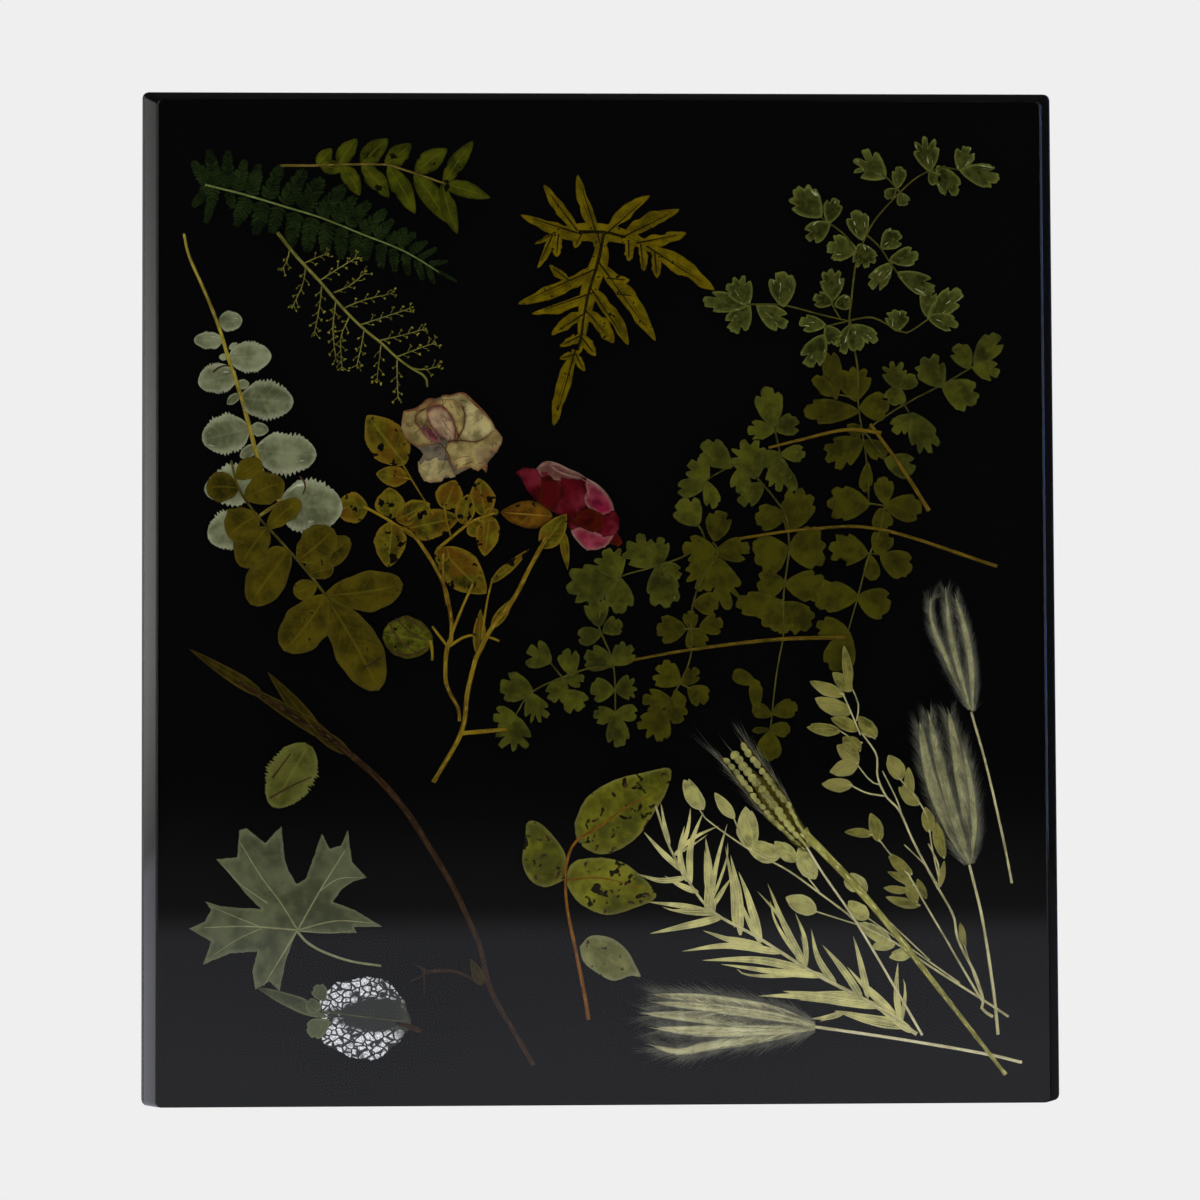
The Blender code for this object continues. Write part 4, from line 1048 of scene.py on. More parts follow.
@dataclass
class SeedPanicle(Plant):
    """Branched panicle: thin branches with clusters of small long seeds."""

    # The main stem comes first
    branches: str = ""

    def shape(self, draft: Draft) -> None:
        """Add the main stem, its branches and their seeds."""
        rng = draft.rng
        axis, *branches = paths_of(self.branches)
        draft.stem(axis, 3.4, 2.2, level=0.6)
        for path in branches:
            draft.stem(path, 1.4, 0.8, level=0.5)
            count = max(3, int(path_length(path) / 4.9))
            line = smooth_path(path, count)
            for i in range(1, count + 1):
                foot, before = line[i], line[i - 1]
                turn = math.atan2(foot[1] - before[1], foot[0] - before[0])
                for hand in ((-1, 1)[i % 2],) if i < count else (-1, 0, 1):
                    lean = turn + hand * rng.uniform(0.6, 0.9)
                    twig = far_spot(foot, lean, rng.uniform(3.0, 6.5) if hand else 1.5)
                    draft.stem([foot, twig], 0.75, 0.6, level=0.5, smooth=False)
                    for fork in rng.sample((-0.55, 0.0, 0.5), rng.choice((1, 2, 2))):
                        far = lean + fork + rng.uniform(-0.15, 0.15)
                        end = far_spot(twig, far, rng.uniform(2.6, 4.0))
                        draft.grain(far_spot(twig, far, 0.5), end, rng.uniform(1.3, 1.9), level=0.4, rows=3)


@dataclass
class LobedSpray(LeafyPlant):
    """Part of the large branching plant: thin stalks and fan leaflets with rounded lobes."""

    # Depth of the cuts between lobes, and share of broad leaflets with five lobes
    depth: float = 0.26
    frill: float = 0.2

    def shape(self, draft: Draft) -> None:
        """Add stalks and leaflets."""
        for path in paths_of(self.stalks):
            draft.stem(path, 2.1, 1.5, level=0.72)
        for i, (base, tip, width) in enumerate(self.leaves()):
            lobes = 3 if width > 20 or draft.rng.random() < 0.6 else 2
            if width > 33 or (width > 24 and draft.rng.random() < self.frill):
                lobes = 5
            depth = self.depth * (1.0 if width > 16 else 0.6)
            draft.fan(base, tip, width * 0.94, lobes, depth, level=(0.42, 0.26, 0.55)[i % 3])


@dataclass
class PatchPlant(LeafyPlant):
    """Leaves of any outline, with stalks laid over or under them."""

    # Base and tip of each leaf, then its outline
    patches: str = ""
    stalk_level: float = 0.3
    # Number of short dark flecks on each leaf, in the last finish; such leaves have no corners
    flecks: int = 0

    def shape(self, draft: Draft) -> None:
        """Add patches, leaves and stalks."""
        rng = draft.rng
        for i, (base, tip, *outline) in enumerate(paths_of(self.patches)):
            if self.flecks:
                outline = smooth_path([*outline, outline[0]], 4 * len(outline))[:-1]
            level, tone = 0.45 + 0.12 * (i % 2), (0.65, 1.0, 0.0)[i % 3]
            draft.patch(outline, (base, tip), 0.25, level, tone=tone)
            us, vs = zip(*outline)
            for _ in range(self.flecks * 3):
                spot = (rng.uniform(min(us), max(us)), rng.uniform(min(vs), max(vs)))
                end = far_spot(spot, rng.uniform(0, 6.3), rng.uniform(2.0, 9.0))
                if inside(spot, outline) and inside(end, outline) and rng.random() < 0.6:
                    fleck = Cut(Form.BLADE, bend=0.2, rows=6, spans=2, wobble=0.8)
                    draft.blade([spot, end], rng.uniform(1.6, 3.4), fleck, 0.12, slot=len(self.finishes) - 1)
        for base, tip, width in self.leaves():
            draft.blade([base, tip], width, self.cut, level=0.4)
        self.add_stalks(draft, self.stalk_level)


@dataclass
class GoldenFern(LeafyPlant):
    """Ochre leaf cut into long pointed lobes on a dark rib."""

    webs: str = ""
    ribs: str = ""

    def shape(self, draft: Draft) -> None:
        """Add webs, lobes and the dark ribs."""
        for path in paths_of(self.webs):
            draft.blade(path, 18, Cut(Form.BLADE, rows=24, spans=6), tone=0.5)
        cut = Cut(Form.FINGER, teeth=0.10, teeth_count=3, bend=0.06, fold=0.2, wobble=0.45, rows=32)
        for i, (base, tip, width) in enumerate(self.leaves()):
            draft.blade([base, tip], width * 0.84, cut, level=0.4 + 0.1 * (i % 3))
            draft.stem([base, mix_spot(base, tip, 0.8)], 1.7, 0.7, level=0.12)
        for path in paths_of(self.ribs):
            draft.stem(path, 3.6, 2.4, level=0.05)


@dataclass
class RoseBloom(Plant):
    """Pressed rose bloom: crumpled petals one over another, folded rims, and creases in brown and painted
    shade.
    """

    # Petals: level and slot, base and tip, then the outline; rims: width and level, then the path
    petals: str = ""
    rims: str = ""
    folds: str = ""
    wrinkles: int = 0

    def shape(self, draft: Draft) -> None:
        """Add the petals, their thick rims and the dark creases, brown with painted shade."""
        rng = draft.rng
        crease_and_shade = len(self.finishes) - 1
        for (level, slot), *axis_and_outline in paths_of(self.petals):
            axis, outline = axis_and_outline[:2], axis_and_outline[2:]
            draft.patch(outline, axis, level=level, slot=int(slot), grid=2.6, swell=0.35, jag=1.0)
            # Fine wrinkles that run roughly along the petal, dark in brown colour and painted shade
            for _ in range(self.wrinkles):
                start = mix_spot(*rng.sample(outline, 2), rng.uniform(0.25, 0.75))
                far = mix_spot(start, axis[1], rng.uniform(0.2, 0.5))
                bow = side_spot(start, far, 0.5, rng.uniform(-2.5, 2.5))
                if inside(start, outline) and inside(bow, outline):
                    draft.stem([start, bow, far], 0.7, 0.3, level=0.03, slot=crease_and_shade, flat=0.9)
        for path, width, level in stalks_of(self.rims):
            draft.blade(path, width, Cut(Form.BLADE, rows=22, spans=4, fold=0.4), level, slot=crease_and_shade - 1)
        # Folds drawn as dark lines: brown crease colour with painted shade in the fold
        for path in paths_of(self.folds):
            draft.stem(path, 0.9, 0.5, level=0.04, slot=crease_and_shade, flat=0.9)


@dataclass
class BarleyEar(Plant):
    """Ear with three rows of grains, long awns and a thick stalk."""

    foot: Spot = (808, 850)
    top: Spot = (738, 758)
    # Awns end below this height on the sheet
    ceiling: float = 719

    def awn(self, tip: Spot, far: float, bend: float) -> Spot:
        """End of an awn.

        Args:
            tip: Foot of the awn.
            far: Its length.
            bend: How far it ends to the side.

        Returns:
            The end, kept below the ceiling.
        """
        _, du, dv = heading(self.foot, self.top)
        end = (tip[0] + du * far - dv * bend, tip[1] + dv * far + du * bend)
        if end[1] < self.ceiling:
            end = mix_spot(tip, end, max(0.1, (self.ceiling - tip[1]) / (end[1] - tip[1])))
        return end

    def shape(self, draft: Draft) -> None:
        """Add the stalk, the grains and the awns."""
        rng = draft.rng
        draft.stem([(802, 832), (854, 886), (904, 946), (1006, 1077)], 8.6, 3.4, level=0.6, knots=2)
        _, du, dv = heading(self.foot, self.top)
        body = Cut(Form.BLADE, rows=16, spans=6, wobble=0.2)
        draft.blade([self.foot, mix_spot(self.foot, self.top, 1.03)], 21.0, body, level=0.9, tone=0.0)
        for step in range(17):
            t = step / 16
            u, v = mix_spot(self.foot, self.top, t)
            # The ear is narrow at the foot and about 27 units wide from a third of its length on
            wide = 4.0 + 9.5 * min(1.0, t * 2.6)
            for k, size in ((-0.75, 0.40), (-0.08, 0.66), (0.68, 0.44)):
                out = wide * k + rng.uniform(-0.8, 0.8)
                base = (u - dv * out, v + du * out)
                long = rng.uniform(7.5, 12.5)
                tip = (base[0] + du * long - dv * k * 3.2, base[1] + dv * long + du * k * 3.2)
                draft.grain(base, tip, wide * size + rng.uniform(0.0, 1.4), slot=3, level=0.35, rows=4)
                end = self.awn(tip, rng.uniform(12, 26), k * rng.uniform(-1.0, 5.0))
                draft.hair((*tip, draft.level(0.3)), (*end, draft.level(0.2)), 0.35, slot=2)
            for hand in (-1, 1):
                out = wide * 0.98
                base = (u - dv * hand * out, v + du * hand * out)
                tip = (base[0] + du * 13 - dv * hand * 2.0, base[1] + dv * 13 + du * hand * 2.0)
                draft.blade([base, tip], 2.6, Cut(Form.LANCE, rows=6, spans=2), level=0.7)
                for _ in range(5):
                    far = rng.uniform(16, 30) if t < 0.5 else rng.uniform(26, 44)
                    end = self.awn(tip, far, hand * far * rng.uniform(-0.02, 0.30))
                    y0, y1 = draft.level(0.4), draft.level(rng.uniform(0.1, 0.8))
                    draft.hair((*tip, y0), (*end, y1), 0.28, slot=2)


@dataclass
class FlatGrass(LeafyPlant):
    """Grass with flat pointed spikelets, each a large scale with smaller ones folded round it."""

    def shape(self, draft: Draft) -> None:
        """Add the stalks and the spikelets."""
        rng = draft.rng
        self.add_stalks(draft, 0.6, 0.66, 0.75)
        large = Cut(Form.SCALE, fold=0.3, ripple=0.12, rows=16, spans=6, bend=0.04)
        small = Cut(Form.SCALE, fold=0.25, ripple=0.1, rows=12, spans=4)
        for base, tip, width in self.leaves():
            tone = rng.random()
            draft.blade([base, tip], width * 0.94, large, level=0.6, tone=tone)
            for _ in range(rng.choice((1, 2, 2, 3))):
                hand = rng.choice((-1, 1))
                foot = mix_spot(base, tip, rng.uniform(0.04, 0.16))
                end = side_spot(base, tip, rng.uniform(0.72, 0.97), hand * width * rng.uniform(0.12, 0.32))
                middle = side_spot(foot, end, 0.5, hand * width * 0.06)
                shade = (tone + rng.uniform(-0.25, 0.25)) % 1
                wide = width * rng.uniform(0.42, 0.62)
                draft.blade([foot, middle, end], wide, small, rng.uniform(0.1, 0.4), tone=shade)
            draft.stem([base, mix_spot(base, tip, 0.12 + 2.0 / math.dist(base, tip))], 1.5, 1.0, level=0.6)


@dataclass
class StrawSpray(LeafyPlant):
    """Arching spray of narrow folded straw leaves."""

    def shape(self, draft: Draft) -> None:
        """Add the axis and every leaf with its own curve and keel."""
        rng = draft.rng
        self.add_stalks(draft, 0.6)
        for i, (base, tip, width) in enumerate(self.leaves()):
            length = math.dist(base, tip)
            middle = side_spot(base, tip, 0.5, rng.uniform(-0.07, 0.07) * length)
            level = (0.2, 0.45, 0.7)[i % 3]
            draft.blade([base, middle, tip], width * 0.84, self.cut, level, tone=rng.random() ** 0.7)
            if rng.random() < 0.5:
                off = rng.uniform(-0.10, 0.10)
                near = side_spot(base, tip, 0.55, off * length)
                far = side_spot(base, mix_spot(base, tip, rng.uniform(0.55, 0.85)), 1.0, off * 60)
                draft.blade([base, near, far], width * 0.5, self.cut, level)


@dataclass
class SilveredLeaf(LeafyPlant):
    """Round leaf skeleton: a dark net of veins with white cells between them."""

    centre: Spot = (363, 1017)

    def shape(self, draft: Draft) -> None:
        """Add the round blade, its stub, stalk and edge pieces."""
        outline = []
        for i in range(48):
            turn = 2 * math.pi * i / 48
            wave = 1 + 0.035 * math.sin(turn * 5 + 1) + 0.02 * math.sin(turn * 11)
            outline.append(
                (self.centre[0] + 46 * wave * math.cos(turn), self.centre[1] + 41 * wave * math.sin(turn))
            )
        draft.patch(outline, ((318, 1012), (409, 1020)), 0.25, grid=3.0, jag=1.6)
        draft.stem([(322, 1010), (350, 1014), (380, 1018), (406, 1021)], 2.0, 1.0, level=0.1)
        draft.blade([(258, 986), (330, 1016)], 15, Cut(Form.WEDGE, rows=12), slot=1)
        for base, tip, width in self.leaves():
            draft.fan(base, tip, width, level=0.3, slot=1)
        draft.stem([(396, 1022), (410, 1026), (421, 1031)], 4.0, 6.0, level=0.4, slot=2)


@dataclass
class Foxtail(Plant):
    """Soft brush ear: broad combed strands that part towards the tip, in a haze of fine hairs."""

    # Widths at the start and end, then the path
    stalk: str = ""
    # Each strand: its greatest width and depth in the layer, then its path from the foot
    strands: str = ""
    floss: int = 140
    floss_length: float = 12.0
    hairs: int = 900
    hair_length: float = 25.0

    def shape(self, draft: Draft) -> None:
        """Add the stalk, the combed strands and the haze of hairs."""
        draft.stem(*stalks_of(self.stalk)[0], level=0.5)
        for strand, width, deep in stalks_of(self.strands):
            band = Cut(Form.STRAND, fold=0.5, ripple=0.15, rows=30, wobble=0.2)
            draft.blade(strand, width * 1.15, band, level=deep * 0.5, slot=3)
            line = smooth_path(strand, 60)
            for i in range(self.floss + self.hairs):
                self.add_hair(draft, line, width, deep, haze=i >= self.floss)

    def add_hair(self, draft: Draft, line: Sequence[Spot], width: float, deep: float, haze: bool) -> None:
        """Add one hair.

        Args:
            draft: Where to add it.
            line: Points along the strand.
            width: Greatest width of the strand.
            deep: Depth of the strand in the layer.
            haze: True for a fine hair that stands off, False for combed floss.
        """
        rng = draft.rng
        t = rng.random() ** (0.9 if haze else 1.0)
        i = min(len(line) - 2, int(t * (len(line) - 2)))
        before, after = line[max(0, i - 1)], line[i + 1]
        turn = math.atan2(after[1] - before[1], after[0] - before[0])
        # The strand widens soon after its foot and ends in a point
        girth = width / 2 * (min(1.0, 0.45 + t * 3.0) * (1.0 - t**3.0) + (0.35 if haze else 0.05))
        side = rng.choice((-1, 1)) * rng.uniform(0.6, 1.0) if haze else rng.gauss(0.0, 0.42)
        side = min(1.0, max(-1.0, side))
        lean = turn + side * (0.42 if haze else 0.10) + rng.gauss(0.0, 0.10 if haze else 0.06)
        foot = far_spot(line[i], turn + math.pi / 2, side * girth)
        tip = far_spot(foot, lean, (self.hair_length if haze else self.floss_length) * rng.uniform(0.5, 1.0))
        bulge = math.sqrt(max(0.0, 1.0 - side * side)) * rng.uniform(-0.45, 0.1)
        y0 = draft.level(min(0.95, max(0.05, deep + bulge)))
        y1 = draft.level(min(0.95, max(0.05, deep + bulge + rng.uniform(-0.2, 0.2))))
        thick = rng.uniform(0.22, 0.34) if haze else rng.uniform(0.6, 1.1)
        draft.hair((*foot, y0), (*tip, y1), thick, slot=2 if haze else 0)



# Finishes in use

# Settings shared by several finishes
LOBE: dict[str, Any] = {"veins": Veins.FANNED, "pairs": 4.5, "veined": 0.06, "ribbed": 0.0}
SOFT: dict[str, Any] = {"veins": Veins.NONE, "ribbed": 0.0, "worn": 0.0, "blotch": 3.0, "relief": 0.02}
BAND: dict[str, Any] = {
    "veins": Veins.PARALLEL, "pairs": 5, "veined": 0.5, "blotch": 3.0, "worn": 0.8, "relief": 0.2
}
SCALY: dict[str, Any] = {
    "veins": Veins.PARALLEL, "pairs": 4, "veined": 0.22, "blotch": 2.5, "worn": 0.35, "ribbed": 0.15,
    "flush": 9.0,
}
PETAL: dict[str, Any] = {"veins": Veins.FANNED, "ribbed": 0.0}
PLAIN: dict[str, Any] = {"veins": Veins.NONE, "ribbed": 0.0}
FERN = DriedBlade(
    "fern pinna, pressed, dark green", "070d03 222f10 323c1a 060c03", pairs=5, veined=0.15, ribbed=0.5,
    blotch=3.0, worn=0.9,
)
FERN_RIB = DriedStem("fern rib, dried, pale green", "444d20 758041 939a5f")
VETCH = DriedBlade(
    "vetch leaflet, pressed, olive green", "151a02 4e5109 5d5d17 262406", spot="050503", pairs=9,
    veined=0.12, ribbed=0.5, blotch=3.5, worn=0.5, spotted=0.35, speck=3.0,
)
VETCH_STEM = DriedStem("vetch stalk, dried, tan", "3d330a 766226 968546")
SEED = DriedBlade("panicle seed, dried, yellow green", "45420e 9f9830 a7a146 67621d", **PLAIN, blotch=2.5)
SEED_STEM = DriedStem("panicle branch, dried, yellow green", "524f1a 848038 98944e")
BURNET = DriedBlade(
    "burnet leaflet, pressed, felted grey green", "45482b 898d68 9fa280 acae8b", pairs=6, veined=0.1,
    ribbed=0.12, blotch=5.0, worn=0.55, painted_glint=0.35, air_glint="babda2", relief=0.2,
)
YELLOW_STEM = DriedStem("burnet leaf stalk, dried, yellow ochre", "4d4313 9c8a2c b19f51")
OLIVE = DriedBlade(
    "leaflet, pressed, olive brown", "242003 554a0a 6c5d17 63571b", spot="110d07", pairs=6, veined=0.12,
    ribbed=0.35, worn=0.3, spotted=0.12, speck=2.0,
)
OLIVE_STEM = DriedStem("leaf midrib, dried, olive", "2d2808 595017 6f6530")
GOLD = DriedBlade(
    "deeply cut leaf, dried, golden ochre", "3d3302 786703 251e02 5f4e06", spot="110d03", pairs=10,
    veined=0.2, ribbed=0.6, blotch=3.0, spotted=0.4, speck=1.5,
)
GOLD_RIB = DriedStem("cut leaf rib, dried, near black", "070602 1c1706 3a3210")
ROSE_LEAF = DriedBlade(
    "rose leaflet, pressed, yellow olive", "272205 685e0f 736a1d 7c6618", spot="0c0904", pairs=6,
    veined=0.18, ribbed=0.5, blotch=2.6, worn=0.8, spotted=0.6, speck=2.4, blush="5a3a08", flush=4.0,
)
ROSE_STEM = DriedStem("rose twig, dried, yellow brown", "4e3606 8b7415 a08b36")
LOBED = DriedBlade(
    "lobed leaflet, pressed, olive green", "25260a 505112 63641f 6a6b32", **LOBE, blotch=3.5, worn=0.15,
    painted_glint=0.1, air_glint="727540",
)
LOBED_BROWN = DriedBlade(
    "lobed leaflet, pressed, brownish olive", "252206 464308 5b5511 625c1d", **LOBE, blotch=3.5, worn=0.15,
    painted_glint=0.1, air_glint="686426",
)
# Strongest painted glints, standing in for light mirrored by films of air
LOBED_PALE = DriedBlade(
    "lobed leaflet, pressed, with a film of air", "1c1e05 46491a 656835 8a9040", **LOBE, blotch=1.8,
    worn=0.35, painted_glint=0.5, air_glint="9aa275",
)
LOBED_STEM = DriedStem("lobed plant stalk, dried, olive", "27250a 514d18 615e2c")
STRAW_STEM = DriedStem("loose stem, dried, dull ochre", "302a05 675310 7a6528")
ORANGE_STEM = DriedStem("sprig stalk, dried, orange brown", "533105 8d5a14 997032")
BARK = DriedStem("woody stem, dried, dark brown", "130b04 372411 523d28", streak_mm=4.0)
BUD = DriedBlade(
    "bud leaf, dried, dark olive", "100b03 372f06 4d3f0d 584b19", veins=Veins.PARALLEL, pairs=9, veined=0.25,
    blotch=3.0,
)
SERRATED = DriedBlade(
    "toothed leaflet, pressed, yellow green", "2e2e0b 5a5b24 747531 818243", pairs=8, veined=0.12,
    ribbed=0.35,
)
MAPLE = DriedBlade(
    "maple-like leaf, pressed, grey green", "323620 626748 898c67 7d815d", **PLAIN, blotch=5.0, worn=0.5,
    painted_glint=0.1, air_glint="999e84",
)
MAPLE_VEIN = DriedStem("maple-like leaf vein, dried, pale", "6e6f48 97986e a8a982")
LEAF_A = DriedBlade(
    "large oval leaf, pressed, yellow olive", "292705 7e7d1f 8a832d 8c8747", veined=0.08, ribbed=0.0,
    blotch=6.0, spotted=0.5, speck=3.0, blush="414412",
)
LEAF_PALE = DriedBlade(
    "loose leaf, pressed, pale olive", "49491c 878751 989868 9f9f77", pairs=6, veined=0.05, ribbed=0.1,
    spotted=0.2,
)
STRAW = DriedBlade("grass scale, dry, pale straw", "56532b bbb765 cfcb88 dcd89a", **SCALY, blush="a6a062")
STRAW_GREEN = DriedBlade(
    "grass scale, dry, yellow green", "3d3b11 878134 9c9759 a8a56b", **SCALY, blush="8f8848",
)
STRAW_LEAF = DriedBlade(
    "narrow straw leaf, dry, folded", "403f19 d8cf7e f5efab efeaa4", veins=Veins.PARALLEL, pairs=3,
    veined=0.7, ribbed=0.5, worn=0.35,
)
STRAW_STALK = DriedStem("grass stalk, dry, pale straw", "767044 d2ca90 e5dfab")
THICK_STALK = DriedStem("ear stalk, dry, yellow straw", "625f1e b0aa58 d7d387")
WHITE_STALK = DriedStem("grass stalk, dry, near white", "b4ab78 ece4b4 f2ecc8")
FLOSS = DriedBlade("brush ear floss, dry, combed", "908e67 d3d09e d3d09e d3d09e", **SOFT)
FLOSS_PALE = DriedBlade("brush ear floss, dry, pale", "b1ac7e f0e9b7 f0e9b7 f0e9b7", **SOFT)
HAIR = DriedBlade("brush ear hair, dry, fine", "666453 a19f8b a19f8b a19f8b", **SOFT)
CREAM = DriedBlade(
    "rose petal, pressed, cream", "4a4020 baa667 534721 80532e", **PETAL, spot="543924", pairs=12,
    veined=0.3, blotch=3.0, worn=0.7, spotted=0.1, blush="7e6b4a", flush=6.0,
)
CREAM_RIM = DriedBlade(
    "rose petal rim, dried, brown and pink", "4f2711 834c35 5f271a 99754c", **PLAIN, blotch=2.0, worn=0.5,
)
CREAM_PALE = DriedBlade(
    "rose petal, pressed, ivory", "5c5430 d0c081 6e633b 866b47", **PETAL, pairs=12, veined=0.3, blotch=3.0,
    worn=0.6, blush="7a633e", flush=6.0,
)
CRIMSON = DriedBlade(
    "rose petal, pressed, crimson", "1f0102 5c0912 631420 3f0508", **PETAL, spot="110203", pairs=14,
    veined=0.25, worn=0.1, spotted=0.1, blush="6e1e2a",
)
CRIMSON_BACK = DriedBlade(
    "rose petal, pressed, orange brown", "270301 4c1003 481a09 5c3812", **PETAL, pairs=14, veined=0.15,
    blotch=3.0, worn=0.1, blush="4c060b", flush=4.0,
)
PINK_RIM = DriedBlade("rose petal rim, dried, pale pink", "60392e a17e6f 7f5348 a58c7b", **PLAIN, blotch=2.0)
CREAM_GREY = DriedBlade(
    "rose petal, pressed, grey cream", "484239 81765d 574f3e 725d41", **PETAL, pairs=10, veined=0.15,
    blotch=3.0, worn=0.5,
)
CREAM_STREAK = DriedBlade(
    "rose petal, pressed, crimson blush", "531424 833c47 60212e 8c6053", **PLAIN, blotch=2.0, worn=0.8,
)
CREAM_BUD = DriedBlade(
    "rose petal, pressed, pink cream", "58483a b3966f 66433a 784d42", **PETAL, pairs=9, veined=0.2,
    blotch=2.5, worn=0.9,
)
PINK_PETAL = DriedBlade(
    "rose petal, pressed, pink", "51071d 9d3f4b 661527 916a5e", **PETAL, pairs=12, veined=0.2, blotch=3.0,
    worn=0.7, blush="7e0f32", flush=4.5,
)
PINK_BACK = DriedBlade(
    "rose petal back, pressed, dull pink", "4c2823 7a5347 582826 8c7462", **PETAL, pairs=12, veined=0.2,
    blotch=2.5, worn=0.6, blush="5c1a1c", flush=4.0,
)
FLOSS_BAND = DriedBlade("brush ear strand, dry, combed", "5f5d3c a4a170 c9c698 585739", **BAND, ribbed=0.25)
PALE_BAND = DriedBlade("brush ear strand, dry, pale", "9a9668 d3cf9c ece8c2 6e6c4c", **BAND, ribbed=0.3)
ROSE_BROWN = DriedBlade(
    "rose leaflet, pressed, orange brown", "3a2304 7c5410 8a6a24 3a2406", spot="120e06", pairs=6,
    veined=0.15, blotch=3.0, worn=0.7, spotted=0.4, speck=2.0,
)
ROLLED = DriedBlade(
    "rose leaflet, rolled up, olive green", "131303 606114 666722 3a3208", spot="0a0a04", pairs=5,
    veined=0.25, ribbed=0.4, blotch=2.2, worn=0.8, spotted=0.35, speck=2.5,
)
# Dark brown lines: cracks, flecks and brown creases; in rose petals also painted shade in creases and folds
CREASE_AND_SHADE = DriedStem("petal crease, dried, dark brown", "1c120a 4a3420 5c4430")
SILVER = SkeletonLeaf()


